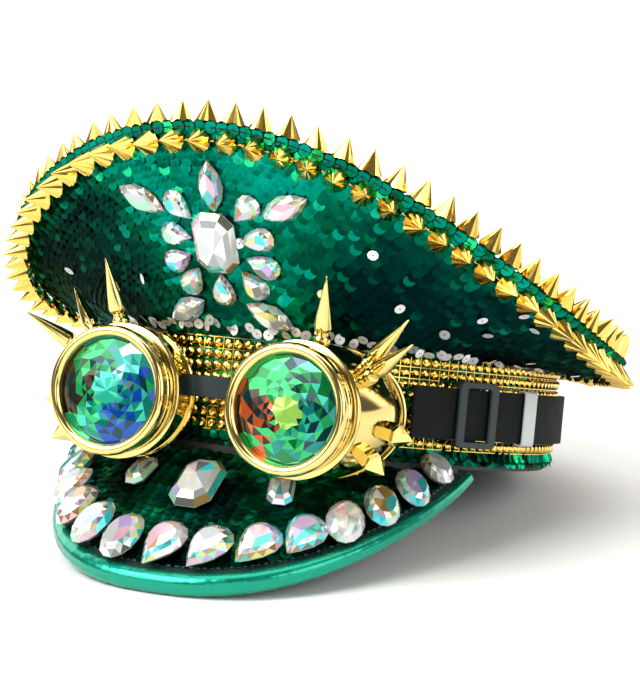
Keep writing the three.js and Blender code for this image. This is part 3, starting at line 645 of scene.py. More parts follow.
def make_loose_sequins():
    """Silver sequins that have turned over, along the crown's foot and here and there above it."""
    shape = Shape()
    t = full_turn(LOOSE["along_foot"]) + 0.012 * rng.standard_normal(LOOSE["along_foot"])
    v = 0.03 + 0.05 * rng.random(len(t))
    scattered = np.array(SCATTERED)
    t = np.concatenate([t, np.radians(scattered[:, 0])])
    v = np.concatenate([v, scattered[:, 1]])
    centre, normal, down = places_on(slack_side, t, v)
    across = unit(np.cross(down, normal) + 0.3 * rng.standard_normal((len(t), 1)) * normal)
    down = unit(np.cross(normal, across) + 0.3 * rng.standard_normal((len(t), 1)) * normal)
    across = unit(np.cross(down, np.cross(across, down)))
    centre = centre + LOOSE["lift"] * normal
    holed_discs(shape, centre, across, down, LOOSE["radius"], LOOSE["hole"], rng.random(len(t)))
    build("loose_silver_sequins", shape, [silver_mat], "cap")


# ---------------------------------------------------------------- band

def ring_wall(shape, outset, thick, low, high, **look):
    """A smooth wall round the head's oval, from outset to outset + thick, with eased edges."""
    t = full_turn(144)
    ease = min(0.35, thick / 3)
    profile = [(0, low + ease), (ease, low), (thick - ease, low), (thick, low + ease)]
    profile += [(thick, high - ease), (thick - ease, high), (ease, high), (0, high - ease)]
    outlines = [head_oval(t, z, outset + out) for out, z in profile]
    return loft(shape, np.stack(outlines, 1), True, **look)


def make_band():
    shape = ring_wall(Shape(), 0, 1.0, 1.5, 40, smooth=True)
    t = even_angles(lambda a: head_oval(a, 0), 150)
    for z in (4.5, 37.5):
        stitch_line(shape, head_oval(t, z, -0.15), slot=1)
    satin = build("sweatband_satin", shape, [satin_mat, thread_mat], "cap", ["sweatband"], 50)

    shape = ring_wall(Shape(), 1.3, 2.4, 0, 44, smooth=True)
    build("headband_buckram", shape, [buckram_mat], "cap", ["headband"], 50)

    shape = ring_wall(Shape(), 4.0, 1.2, 1.5, 44, smooth=True)
    cover = build("band_cover_cloth", shape, [backing_mat], "cap", ["band_sequin_cover"], 50)
    make_band_sequins()
    make_rhinestones()


COVER_OUTSET = 5.4  # of the sequinned cover's outside, from the head's oval
COVER_SEQUINS = 140  # in a row
FRINGE_HEIGHTS = (5.9, 3.6)


def cover_wall(t, v):
    return head_oval(t, BAND_TOP * v, COVER_OUTSET)


def cover_tint(t, v, centre):
    return 0.62 + 0.3 * patches(centre, 9)


def make_band_sequins():
    """Flat sequins behind the rhinestones, and two loose rows that hang below them."""
    shape = Shape()
    around = even_angles(lambda a: cover_wall(a, 0 * a), COVER_SEQUINS)
    half_step = np.pi / COVER_SEQUINS
    for k, z in enumerate(FRINGE_HEIGHTS):
        t = around + k * half_step
        sew_row(shape, cover_wall, t, np.full(len(t), z / BAND_TOP), 0.75 - 0.2 * k, 0.3, cover_tint, 0.22)
    for k, z in enumerate(np.arange(9.5, 46, 2.9)):
        t = around + (k % 2) * half_step
        sew_row(shape, cover_wall, t, np.full(len(t), z / BAND_TOP), 0.1, 0.03, cover_tint, 0.02)
    build("band_sequins", shape, [sequin_mat], "cap")


MESH = {"rows": 8, "columns": 138, "low": 7.3, "high": 43.2, "outset": 5.9, "wire": 0.3}


def mesh_line(t, z, outset=0.0):
    return head_oval(t, z, MESH["outset"] + outset)


def make_rhinestones():
    """Gold cupped stones, one in each cell of a fine gold wire grid."""
    shape = Shape()
    size = MESH["wire"]
    t = even_angles(lambda a: mesh_line(a, 0), 2 * MESH["columns"])
    heights = np.linspace(MESH["low"], MESH["high"], MESH["rows"] + 1)
    square = [(0, -0.5), (size, -0.5), (size, 0.5), (0, 0.5)]
    for z in heights:
        loft(shape, np.stack([mesh_line(t, z + size * up, out) for out, up in square], 1), True)
    outward = unit(oval(HEAD["half_length"], HEAD["half_width"], t, 0))
    along = unit(np.cross([0, 0, 1.0], outward))
    base = mesh_line(t, 0)
    for p, n, a in zip(base[::2], outward[::2], along[::2]):
        ends = [[p + n * out + a * size * side + [0, 0, z] for out, side in square] for z in heights[[0, -1]]]
        loft(shape, ends, False)
    profile = [(0, -0.4), (1.75, -0.4), (1.9, 0.5), (1.45, 1.25), (0.8, 1.5), (0, 1.55)]
    for p, n in zip(base[1::2], outward[1::2]):
        matrix = facing(n, np.array([0, 0, 1.0]))
        for z in 0.5 * (heights[:-1] + heights[1:]):
            lathe(shape, profile, matrix, p + [0, 0, z], 9, tint=0.5)
    build("rhinestone_mesh", shape, [stud_mat], "cap", ["rhinestone_mesh_band"])


def stitch_line(shape, points, thickness=0.28, share=0.62, **look):
    """Short round stitches along a closed or open row of points."""
    for a, b in zip(points[:-1], points[1:]):
        way = unit(b - a)
        matrix = facing(way, np.array([0.3, 0.2, 1.0]))
        long = np.linalg.norm(b - a) * share
        profile = [(0, 0), (thickness, 0.2 * long), (thickness, 0.8 * long), (0, long)]
        lathe(shape, profile, matrix, a, 6, **look)


# ---------------------------------------------------------------- studs

def stud_stance(surface, t, v, climb):
    """Where studs stand and point: leaning from square to the cloth towards a climb above level."""
    place, normal = surface(t, v), normal_of(surface, t, v)
    out = unit((place - [0, RIM["centre_y"], 0]) * [1, 1, 0])
    wanted = out * math.cos(climb) + np.array([0, 0, math.sin(climb)])
    apart = np.arccos(np.clip((normal * wanted).sum(-1), -1, 1))
    lean = np.minimum(apart, math.radians(STUD_STANCE["most_lean"]))[:, None]
    way = normal * np.cos(lean) + np.cross(unit(np.cross(normal, wanted)), normal) * np.sin(lean)
    lift = np.maximum(STUD_STANCE["lift"], STUDS["radius"] * np.sin(lean) + STUD_STANCE["clear"])
    return place + lift * normal, way


def fluted_cone(shape, foot, normal, turn, ridges, depth):
    """A pleated cone stud: ridges run from a short skirt to the point."""
    angles = full_turn(2 * ridges) + turn
    star = np.where(np.arange(2 * ridges) % 2, 1 - depth, 1.0) * STUDS["radius"]
    skirt = ((0.94, 0), (1.0, 0.8))
    rings = [point(k * star * np.cos(angles), k * star * np.sin(angles), h) for k, h in skirt]
    rings.append(point(0.05 * np.cos(angles), 0.05 * np.sin(angles), STUDS["height"] - 0.1))
    matrix = facing(normal, np.array([0.0, 0.0, 1.0]))
    loft(shape, np.array(rings) @ matrix.T + foot, False)


def make_studs():
    t = even_angles(rim, STUDS["count"])
    lower = 1 - STUDS["lower_inset"] / side_length(t)
    upper = 1 - STUDS["upper_inset"] / top_length(-t)
    rows = {
        "lower_stud_trim": (slack_side, t, lower, STUD_STANCE["lower_climb"], 12, 0.08),
        "upper_stud_trim": (top_facing_up, -t, upper, STUD_STANCE["upper_climb"], 9, 0.1),
    }
    for name, (surface, angle, share, climb, ridges, depth) in rows.items():
        shape = Shape()
        feet, ways = stud_stance(surface, angle, share, math.radians(climb))
        for foot, way, turn in zip(feet, ways, rng.random(len(t))):
            fluted_cone(shape, foot, unit(way + 0.04 * rng.standard_normal(3)), turn, ridges, depth)
        links = surface(angle, share) + 1.3 * normal_of(surface, angle, share)
        stitch_line(shape, np.concatenate([links, links[:1]]), 0.42, 0.99, smooth=True)
        build(name + "_gold", shape, [stud_mat], "cap", [name])


# ---------------------------------------------------------------- stones

def emerald_outline(w, l):
    return np.array(cut_rectangle(w / 2, l / 2, 0.26 * w))


def oval_outline(w, l):
    a = full_turn(14)
    return np.stack([w / 2 * np.cos(a), l / 2 * np.sin(a)], -1)


def teardrop_outline(w, l):
    a = full_turn(14)
    return np.stack([w / 1.54 * np.sin(a) * np.sin(a / 2), l / 2 * np.cos(a)], -1)


def marquise_outline(w, l):
    a = full_turn(12)
    return np.stack([w / 2 * np.sign(np.sin(a)) * np.sin(a) ** 2, l / 2 * np.cos(a)], -1)


# The rings of a brilliant: size, height as a share, and whether it is half a step round.
BRILLIANT = [(0.86, 0, False), (1.0, 0.26, False), (1.0, 0.34, False), (0.84, 0.74, True)]
BRILLIANT += [(0.62, 0.97, False)]
# The steps of an emerald cut: size, and height as a share.
STEPS = [(0.86, 0), (1.0, 0.26), (1.0, 0.34), (0.84, 0.72), (0.64, 0.95)]


def zigzag(lower, upper, count):
    """Triangles between two rings, the upper one half a step round."""
    return [[lower + j, lower + (j + 1) % count, upper + j] for j in range(count)] + [
        [upper + j, lower + (j + 1) % count, upper + (j + 1) % count] for j in range(count)
    ]


def zagzig(lower, upper, count):
    """Triangles between two rings, the lower one half a step round."""
    return [[lower + j, upper + (j + 1) % count, upper + j] for j in range(count)] + [
        [lower + j, lower + (j + 1) % count, upper + (j + 1) % count] for j in range(count)
    ]


def patchy(count, run):
    """Colours round a ring of facets that change every few facets."""
    return np.repeat(rng.random(-(-count // run)), run)[:count]


def brilliant(shape, outline, height, matrix, place):
    """A faceted stone: a girdle, a crown of kites and a table in a few patches of colour."""
    count = len(outline)
    halfway = 0.5 * (outline + np.roll(outline, -1, axis=0))
    rings = [
        np.column_stack([(halfway if turned else outline) * size, np.full(count, level * height)])
        for size, level, turned in BRILLIANT
    ]
    points = np.concatenate([*rings, [[0, 0, height]]])
    faces = [list(range(count))[::-1]] + grid_faces(3, count, False, True).tolist()
    faces += zigzag(2 * count, 3 * count, count) + zagzig(3 * count, 4 * count, count)
    faces += [[4 * count + j, 4 * count + (j + 1) % count, 5 * count] for j in range(count)]
    girdle = rng.random(1 + 2 * count)
    tint = np.concatenate([girdle, *(patchy(count, run) for run in (2, 3, 2, 3)), patchy(count, 4)])
    shape.add(points @ matrix.T + place, faces, tint=tint)


def step_cut(shape, outline, height, matrix, place):
    """An emerald cut: long steps up to a table that is split from one off-centre point."""
    count = len(outline)
    rings = [np.column_stack([outline * size, np.full(count, level * height)]) for size, level in STEPS]
    split = [0.1 * outline[0][0], -0.25 * outline[0][1], height]
    points = np.concatenate([*rings, [split]])
    faces = [list(range(count))[::-1]] + grid_faces(len(STEPS), count, False, True).tolist()
    last = (len(STEPS) - 1) * count
    faces += [[last + j, last + (j + 1) % count, last + count] for j in range(count)]
    shape.add(points @ matrix.T + place, faces, tint=rng.random(len(faces)))


def emblem_spot(across, up):
    front = float(side_length(np.array(0.0)))
    v = (EMBLEM_Z - BAND_TOP) / (RIM_HEIGHT["front"] - BAND_TOP) + up / front
    wide = BAND["half_width"] + (RIM["half_width"] * (1 + RIM["wider"]) - BAND["half_width"]) * v
    return np.arcsin(across / wide), v


def stone_frame(surface, t, v, turn):
    """Where a stone lies on a surface, its long axis turned from the way up the surface."""
    t, v = np.array(float(t)), np.array(float(v))
    normal = normal_of(surface, t, v)
    up = unit(surface(t, v + 1e-3) - surface(t, v))
    spin = np.array(Matrix.Rotation(math.radians(turn), 3, "Z"))
    return facing(normal, up) @ spin, surface(t, v) + 0.9 * normal


def set_stone(name, cut, outline, height, where, stands_for):
    """One stone as a piece of its own: cut is the function that facets it."""
    shape = Shape()
    cut(shape, outline, height, *where)
    build(name, shape, [stone_mat], "cap", [stands_for])


def make_emblem():
    where = stone_frame(crown_side, *emblem_spot(0, 0), 0)
    set_stone("emblem_emerald_stone", step_cut, emerald_outline(18, 25), 6, where, "crown_emerald")
    marquises = {
        "top": (1.5, 23.4, 0),
        "upper_left": (30, 20, -60),
        "upper_right": (-30, 20, 60),
        "lower_left": (17.5, -29.5, 63),
        "lower_right": (-17.5, -29.5, -63),
    }
    for name, (across, up, turn) in marquises.items():
        where = stone_frame(crown_side, *emblem_spot(across, up), turn)
        outline = marquise_outline(10.5, 21)
        set_stone("emblem_marquise_" + name, brilliant, outline, 4.5, where, "crown_marquise_" + name)
    ring = [(0, 20), (38, 21), (67, 19.4), (101, 17.4), (137, 20.6)]
    ring += [(-angle, distance) for angle, distance in ring[1:]]
    for i, (angle, distance) in enumerate(ring):
        turn = math.radians(angle)
        spot = emblem_spot(distance * math.sin(turn), -distance * math.cos(turn))
        where = stone_frame(crown_side, *spot, angle)
        name = "teardrop_" + str(i + 1)
        set_stone("emblem_" + name, brilliant, teardrop_outline(10, 14), 4, where, "crown_" + name)


def peak_inset(t, distance):
    t = np.asarray(t, float)
    length = np.linalg.norm(peak_top(t, np.zeros_like(t)) - peak_top(t, np.ones_like(t)), axis=-1)
    return 1 - distance / length


def border_share(t):
    """How far out the line of border stones lies: nearer the edge towards its ends."""
    near = BORDER["end_inset"] + (BORDER["inset"] - BORDER["end_inset"]) * np.cos(t) ** 0.5
    return peak_inset(t, near)


def make_peak_stones():
    singles = {
        "visor_emerald": (0, 0.33, 18, 25, 6),
        "visor_small_stone_left": (-25, 0.34, 10, 15, 4.5),
        "visor_small_stone_right": (22.5, 0.31, 10, 15, 4.5),
    }
    for name, (angle, v, width, length, height) in singles.items():
        where = stone_frame(peak_top, math.radians(angle), v, 0)
        set_stone(name + "_cut", step_cut, emerald_outline(width, length), height, where, name)
    border = Shape()
    end = math.radians(BORDER["end_angle"])
    line = even_angles(lambda a: peak_top(a, border_share(a)), BORDER["stones"] - 1, -end, end)
    for i, angle in enumerate([*line, end]):
        size = BORDER["smallest"] + (1 - BORDER["smallest"]) * math.cos(angle) ** 0.5
        drop = i in BORDER["drops"]
        cut = teardrop_outline if drop else oval_outline
        outline = cut(BORDER["width"] * size, BORDER["length"] * size)
        turn = (BORDER["slant"] if drop else 0) + 4 * rng.standard_normal()
        matrix, place = stone_frame(peak_top, angle, border_share(angle), turn)
        brilliant(border, outline, BORDER["height"], matrix, place + (BORDER["lift"] - 0.9) * matrix[:, 2])
    build("visor_border_stones", border, [stone_mat], "cap", ["visor_gem_border"])


# ---------------------------------------------------------------- peak

def peak_length(t):
    return np.linalg.norm(peak_edge(t) - peak_middle(t, 0 * t), axis=-1)


TUCKED = 1.5  # how far the peak's cloths run under the padded edge


def peak_layer(height):
    """A surface parallel to the peak's middle that stops just under the padded edge."""
    level = raised(peak_middle, height)
    return lambda t, v: level(t, v * (1 - (roll_radius(t) - TUCKED) / peak_length(t)))


def make_peak():
    t = np.radians(np.linspace(-84, 84, 90))
    v = np.linspace(0, 1, 14)
    layers = {
        "visor_cover_cloth": (2.3, 1.1, backing_mat, "sequin_green", "visor_top_cover"),
        "visor_underside_satin": (-1.6, 1.0, satin_mat, "satin", "visor_underside"),
    }
    for name, (height, thick, look, slot, stands_for) in layers.items():
        shape = Shape()
        cloth_shell(shape, peak_layer(height), t, v, thick, False, smooth=True)
        cloth = build(name, shape, [look], "cap", [stands_for], 60)
    scales = Shape()
    depths = np.arange(7.5, 66, SEQUIN["row"])
    ends = (-math.radians(82), math.radians(82))
    sew_rows(scales, peak_top, peak_length, depths, ends, peak_tint, 0.5, -0.12)
    build("visor_sequins", scales, [sequin_mat], "cap")
    make_peak_welt()
    make_binding()


def make_peak_welt():
    """The dark welt that the peak is sewn to, under the front of the band."""
    t = np.radians(np.linspace(-60, 60, 80))
    out, low, high = (3.85, 5.7), -4.4, 1.45
    corners = [(out[0], low), (out[1], low), (out[1], high), (out[0], high)]
    shape = loft(Shape(), np.stack([head_oval(t, z, o) for o, z in corners], 1), False)
    build("peak_welt", shape, [satin_mat], "cap")


def make_binding():
    end = math.radians(87.5)
    t = np.linspace(-end, end, 220)
    centre = peak_edge(t)
    normal = normal_of(peak_middle, t, np.ones_like(t))
    along = unit(peak_edge(t + 1e-3) - peak_edge(t - 1e-3))
    out = unit(np.cross(along, normal))
    a = full_turn(28)
    pucker = 1 + 0.012 * np.sin(150 * t) + 0.012 * np.sin(67 * t + 1)
    closing = np.sqrt(np.clip((end - np.abs(t)) / 0.03, 0.04, 1))
    radius = (roll_radius(t) * pucker * closing)[:, None, None]
    crease = (1 - 0.16 * np.exp(-(((a - math.radians(152)) / 0.16) ** 2)))[None, :, None]
    outlines = centre[:, None] + radius * crease * (
        np.cos(a)[None, :, None] * out[:, None] + np.sin(a)[None, :, None] * normal[:, None]
    )
    shape = loft(Shape(), outlines, False, smooth=True)
    seam = np.linspace(-math.radians(80), math.radians(80), 100)
    spot = peak_top(seam, peak_inset(seam, roll_radius(seam) + 0.9))
    stitch_line(shape, spot + 0.4 * normal_of(peak_top, seam, np.full(100, 0.9)), 0.3, 0.6, slot=1)
    looks = [foil_mat, thread_mat]
    roll = build("visor_binding_roll", shape, looks, "cap", ["visor_binding"], 70)


# ---------------------------------------------------------------- goggles

def cup_point(side, angle, radius, depth):
    x = EYES["spacing"] + radius * np.sin(angle)
    return point(side * x, EYES["front_y"] + depth, EYES["z"] + radius * np.cos(angle))


def cup_depth(angle):
    span = CUP["temple_depth"] - CUP["nose_depth"]
    return CUP["nose_depth"] + span * (1 + np.sin(angle)) / 2 - CUP["saddle"] * np.cos(angle) ** 2


def rim_radius(angle):
    return 26 + 1.95 * np.sin(angle) + 1.8 * np.sin(angle) ** 2


def skin_radius(angle, q):
    bulge = 1.6 * np.sin(np.pi * q) * (1 + np.sin(angle))
    return CUP["waist"] + (rim_radius(angle) - 1.2 - CUP["waist"]) * q + bulge


def skin_depth(angle, q):
    return CUP["flange_to"] + (cup_depth(angle) - CUP["lip"] - CUP["flange_to"]) * q


def cup_skin(side, angle, q):
    return cup_point(side, angle, skin_radius(angle, q), skin_depth(angle, q))


def make_eyecup(side, hand):
    angle = full_turn(96)
    back = cup_depth(angle)

    def at(radius, depth):
        return cup_point(side, angle, radius + 0 * angle, depth + 0 * angle)

    shares = np.linspace(0, 1, 12)
    outer = [cup_skin(side, angle, q) for q in shares]
    inner = [at(skin_radius(angle, q) - CUP["wall"], skin_depth(angle, q)) for q in shares[:0:-1]]
    flange = [(22.9, 9.3), (22.9, 10.7), (25.6, 10.7), (26.2, 11.0), (26.4, 11.7), (26.2, 12.4), (25.6, 12.7)]
    flange += [(24.2, 12.8)]
    edge = rim_radius(angle)
    lip = [at(edge - 0.4, back - 1.6), at(edge, back - 1.2), at(edge, back - 0.4), at(edge - 0.5, back)]
    lip += [at(edge - 2.4, back)]
    rings = [at(r, d) for r, d in flange] + outer + lip + inner + [at(21.3, 12.5), at(21.3, 9.3)]
    shape = loft(Shape(), np.stack(rings, 1), True, smooth=True)
    build(hand + "_eyecup_gold", shape, [gold_mat], "goggles", [hand + "_eyecup"], 35)


def make_lens_ring(side, hand):
    """The bezel: a fat rounded lip, a groove, and a skirt that screws over the cup's neck."""
    angle = full_turn(120)
    arc = np.radians(np.linspace(200, 20, 14))
    lip = [(22.95 + 2.15 * math.cos(a), 1.95 - 1.95 * math.sin(a)) for a in arc]
    profile = lip + [(25.2, 2.6), (24.9, 3.5), (24.35, 3.9), (24.35, 5.6), (24.6, 5.9), (24.6, 7.6)]
    profile += [(24.3, 8.0), (24.3, 10.2), (23.2, 10.2), (23.2, 3.6), (20.9, 3.6)]
    rings = [cup_point(side, angle, r + 0 * angle, d + 0 * angle) for r, d in profile]
    shape = loft(Shape(), np.stack(rings, 1), True, smooth=True)
    build(hand + "_bezel_gold", shape, [gold_mat], hand + "_ring", [hand + "_lens_ring"], 35)


# The rings of the lens: radius, depth, and whether it is half a step round.
LENS_RINGS = [(5.4, 1.5, False), (7.4, 1.8, True), (9.6, 1.9, False), (11.8, 2.25, True), (14.2, 2.5, False)]
LENS_RINGS += [(16.8, 2.95, True), (19.8, 3.6, False)]
LENS_BACK = [(20.4, 4.0), (22.7, 4.0), (22.7, 8.9)]
LENS_SIDES = 18
# What the facets of each lens show, by the angle up from the picture's right in the lens.
LENS_SECTORS = {
    "right": [
        (35, [TEAL, BLUE, INK, GREEN]), (75, [MIST, TEAL, AQUA, TEAL]), (130, [TEAL, GREEN, EMERALD, INK]),
        (165, [EMERALD, GREEN, BROWN]), (215, [BROWN, INK, BROWN, GREEN]), (255, [AQUA, GREEN, TEAL]),
        (325, [BLUE, BLUE, TEAL, INK]), (361, [BLUE, TEAL, AQUA]),
    ],
    "left": [
        (50, [TEAL, AQUA, EMERALD, INK]), (110, [GREEN, EMERALD, GREEN, INK]), (155, [EMERALD, GREEN, GREEN]),
        (215, [BROWN, INK, BROWN, ORANGE]), (250, [GREEN, ORANGE, BROWN]), (300, [EMERALD, GREEN, TEAL]),
        (361, [TEAL, AQUA, GREEN, INK]),
    ],
}
LENS_MIDDLE = {"right": (-1.0, 0.5, AQUA), "left": (0.8, -0.8, LIME)}
LENS_MIDDLE_RADIUS = 5.8


def lens_colour(hand, x, y):
    """What a facet shows: the middle is bright, and one patch at the nose side is dark."""
    middle_x, middle_y, bright = LENS_MIDDLE[hand]
    if math.hypot(x - middle_x, y - middle_y) < LENS_MIDDLE_RADIUS:
        return bright
    angle = math.degrees(math.atan2(y, x)) % 360
    choice = next(colours for limit, colours in LENS_SECTORS[hand] if angle < limit)
    return choice[rng.integers(len(choice))]


def make_lens(side, hand):
    """Glass cut like a kaleidoscope: rings of small facets at slightly uneven angles."""
    count = LENS_SIDES
    half_step = np.pi / count
    rings = []
    for radius, depth, turned in LENS_RINGS:
        uneven = 0.45 * rng.standard_normal(count) if radius < 18 else 0
        angles = full_turn(count) + turned * half_step
        rings.append(cup_point(side, angles, radius + uneven, depth + 0.22 * rng.random(count)))
    rings += [cup_point(side, full_turn(count), np.full(count, r), d) for r, d in LENS_BACK]
    points = np.concatenate([*rings, [cup_point(side, 0.0, 0.0, 1.45)], [cup_point(side, 0.0, 0.0, 8.9)]])
    faces = []
    for i, (_, _, turned) in enumerate(LENS_RINGS[:-1]):
        join = zagzig if turned else zigzag
        faces += join(i * count, (i + 1) * count, count)
    last = (len(LENS_RINGS) - 1) * count
    faces += (grid_faces(len(LENS_BACK) + 1, count, False, True) + last).tolist()
    middle = len(points) - 2
    end = (len(rings) - 1) * count
    faces += [[middle, j, (j + 1) % count] for j in range(count)]
    faces += [[middle + 1, end + (j + 1) % count, end + j] for j in range(count)]
    centres = np.array([points[face].mean(axis=0) for face in faces])
    centres -= cup_point(side, 0.0, 0.0, 0.0)
    colours = [lens_colour(hand, c[0], c[2]) for c in centres]
    shape = Shape().add(points, faces, tint=(np.array(colours) + 0.5) / len(LENS_COLOURS))
    build(hand + "_lens_glass", shape, [lens_mat], hand + "_lens", [hand + "_lens"])


# Profiles of radius and height: a collar, a groove and the point.
LONG_SPIKE = [(0, 0), (3.15, 0), (3.3, 0.5), (3.3, 1.9), (3.1, 2.4), (2.4, 3.1), (2.4, 4.5), (3.1, 5.4)]
LONG_SPIKE += [(3.5, 6.2), (3.45, 7.2), (2.9, 11.5), (1.75, 17.9), (0.8, 23), (0.28, 26.6), (0, 27)]
SMALL_SPIKE = [(0, 0), (4.2, 0), (4.5, 0.3), (4.5, 3.2), (3.3, 3.8), (3.3, 4.2), (4.6, 5.0)]
SMALL_SPIKE += [(0.15, 11.4), (0, 11.5)]
# Each cup's side, and its long and small spikes: angle from the top, depth and how far each leans forward.
SPIKES = {
    "left": (1, [(11, 18, 0.12), (48, 25, 0.12), (58, 22, 0.12)], [(100, 31.5, 0.12), (121, 25, 0.12)]),
    "right": (-1, [(12, 18, 0.12), (46, 25, -0.5), (59, 21, 0.12)], [(100, 26, 0.12), (124, 22, 0.12)]),
}


def set_spike(shape, profile, sides, side, angle, depth, lean, **look):
    """A spike that stands square to the cup's skin, apart from its lean."""
    angle = math.radians(angle)
    share = (depth - CUP["flange_to"]) / (cup_depth(angle) - CUP["lip"] - CUP["flange_to"])

    def skin(a, q):
        return cup_skin(side, a, q)

    foot = skin(np.array(angle), np.array(share))
    normal = normal_of(skin, np.array(angle), np.array(share))
    if normal @ (foot - cup_point(side, 0.0, 0.0, depth)) < 0:
        normal = -normal
    way = unit(normal + np.array([0, -lean, 0]))
    matrix = facing(way, np.array([0.1, 1.0, 0.1]))
    lathe(shape, [(r, h + (0.9 if h else -0.3)) for r, h in profile], matrix, foot, sides, **look)


def make_spikes(hand):
    side, long, small = SPIKES[hand]
    kinds = [("_long_spike_", long, LONG_SPIKE, 28, 28), ("_small_spike_", small, SMALL_SPIKE, 6, None)]
    for kind, places, profile, sides, crease in kinds:
        for i, (angle, depth, lean) in enumerate(places):
            shape = Shape()
            set_spike(shape, profile, sides, side, angle, depth, lean, smooth=crease is not None)
            name = hand + kind + str(i + 1)
            build(name + "_gold", shape, [gold_mat], "goggles", [name], crease)


BRIDGE = {
    "half_width": 4.2, "half_thick": 0.8, "ease": 0.3, "z": 23.7, "depth": 16.5, "bow": 1.2, "tucked": 0.6,
}


def make_bridge():
    """A flat strip that bows a little between the cups, with its ends tucked in behind the flanges."""
    reach = EYES["spacing"] - CUP["waist"] + BRIDGE["tucked"]
    outlines = []
    for x in np.linspace(-reach, reach, 17):
        y = EYES["front_y"] + BRIDGE["depth"] + BRIDGE["bow"] * (x / reach) ** 2
        section = cut_rectangle(BRIDGE["half_thick"], BRIDGE["half_width"], BRIDGE["ease"])
        outlines.append([(x, y + dy, BRIDGE["z"] + dz) for dy, dz in section])
    shape = loft(Shape(), outlines, False, smooth=True)
    build("nose_bridge_strip", shape, [slate_mat], "goggles", ["nose_bridge"], 30)


def make_goggles():
    for hand, (side, _, _) in SPIKES.items():
        make_eyecup(side, hand)
        make_lens_ring(side, hand)
        make_lens(side, hand)
        make_spikes(hand)
    make_bridge()


# ---------------------------------------------------------------- strap

def strap_oval(t):
    return oval(STRAP["half_width"], STRAP["half_length"], t, STRAP["z"])


strap_end = strap_oval(np.array(STRAP_TOUCH))
strap_way = unit(strap_end - STRAP_START)
strap_out = np.array([strap_way[1], -strap_way[0], 0])


def strap_line():
    """Points of the strap's inner face on the wearer's left, and which way is out at each."""
    straight = STRAP_START + (strap_end - STRAP_START) * np.linspace(0, 1, 30)[:-1, None]
    t = np.linspace(STRAP_TOUCH, np.pi, 90)
    points = np.concatenate([straight, strap_oval(t)])
    way = np.gradient(points, axis=0)
    return points, unit(np.cross(way, [0, 0, 1.0]))


RIBS = {"count": 60, "height": 0.09}


def make_strap():
    """Ribbed elastic: fine ridges run along it on both faces."""
    up = np.linspace(-STRAP["width"] / 2, STRAP["width"] / 2, RIBS["count"])
    ridge = RIBS["height"] * np.cos(np.arange(RIBS["count"]) * np.pi)
    profile = [(STRAP["thick"] - RIBS["height"] + r, u) for r, u in zip(ridge, up)]
    profile += [(RIBS["height"] - r, u) for r, u in zip(ridge[::-1], up[::-1])]
    out, height = np.array(profile).T
    points, outward = strap_line()
    level = points[:, None] + out[None, :, None] * outward[:, None]
    left = level + height[None, :, None] * np.array([0, 0, 1.0])
    right = left[::-1][1:] * np.array([-1, 1, 1])
    shape = loft(Shape(), np.concatenate([left, right]), False, smooth=True)
    stands_for = ["strap_loop", "left_strap_front", "right_strap_front"]
    strap = build("elastic_strap", shape, [elastic_mat], None, stands_for, 60)
    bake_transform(strap)


def rounded_rectangle(half_x, half_y, radius, per_corner=6):
    """Points round a rectangle with round corners."""
    corners = [(1, 1, 0), (-1, 1, 90), (-1, -1, 180), (1, -1, 270)]
    outline = []
    for sx, sy, start in corners:
        for a in np.radians(np.linspace(start, start + 90, per_corner)):
            corner = (sx * (half_x - radius), sy * (half_y - radius))
            outline.append((corner[0] + radius * math.cos(a), corner[1] + radius * math.sin(a)))
    return np.array(outline)


def frame_ring(shape, outer, inner, low, high, bevel, matrix, place, **look):
    """A flat frame between two outlines, from low to high along the third axis, with eased edges."""
    ease = bevel / np.linalg.norm(outer - inner, axis=1, keepdims=True)
    layers = [(0, low + bevel), (ease, low), (1 - ease, low), (1, low + bevel)]
    layers += [(1, high - bevel), (1 - ease, high), (ease, high), (0, high - bevel)]
    across = outer - inner
    rings = [np.column_stack([inner + across * share, np.full(len(outer), z)]) for share, z in layers]
    return loft(shape, np.stack(rings, 1) @ matrix.T + place, True, **look)


# Outlines: half sizes and corner radius. Boxes: size, and centre along the strap, across it and out.
BUCKLE = {
    "share": 0.79, "outer": (11.8, 13, 2.2), "inner": (7, 10.4, 0.9), "low": 1.9, "high": 3.7,
    "rail": (21, 2.2, 3.1), "rail_centre": (11.7, 0.65), "bar": (5.2, 25.4, 0.8), "bar_centre": (0, 0, -0.5),
}
KEEPER = {"angle": 80, "outer": (2.0, 11.25, 1.1), "inner": (1.2, 10.45, 0.5), "half_length": 5}


def make_buckle():
    """A slide buckle: a frame over the strap, a rail at each edge and a bar behind it."""
    place = STRAP_START + (strap_end - STRAP_START) * BUCKLE["share"]
    matrix = np.column_stack([-strap_way, [0, 0, 1.0], strap_out])
    shape = Shape()
    outer, inner = (rounded_rectangle(*BUCKLE[k]) for k in ("outer", "inner"))
    frame_ring(shape, outer, inner, BUCKLE["low"], BUCKLE["high"], 0.5, matrix, place, smooth=True)
    across, out = BUCKLE["rail_centre"]
    for way in (-1, 1):
        round_box(shape, BUCKLE["rail"], (0, way * across, out), matrix, place, 0.4, smooth=True)
    round_box(shape, BUCKLE["bar"], BUCKLE["bar_centre"], matrix, place, 0.3, smooth=True)
    build("slide_buckle", shape, [slate_mat], "buckle", ["strap_buckle"], 40)


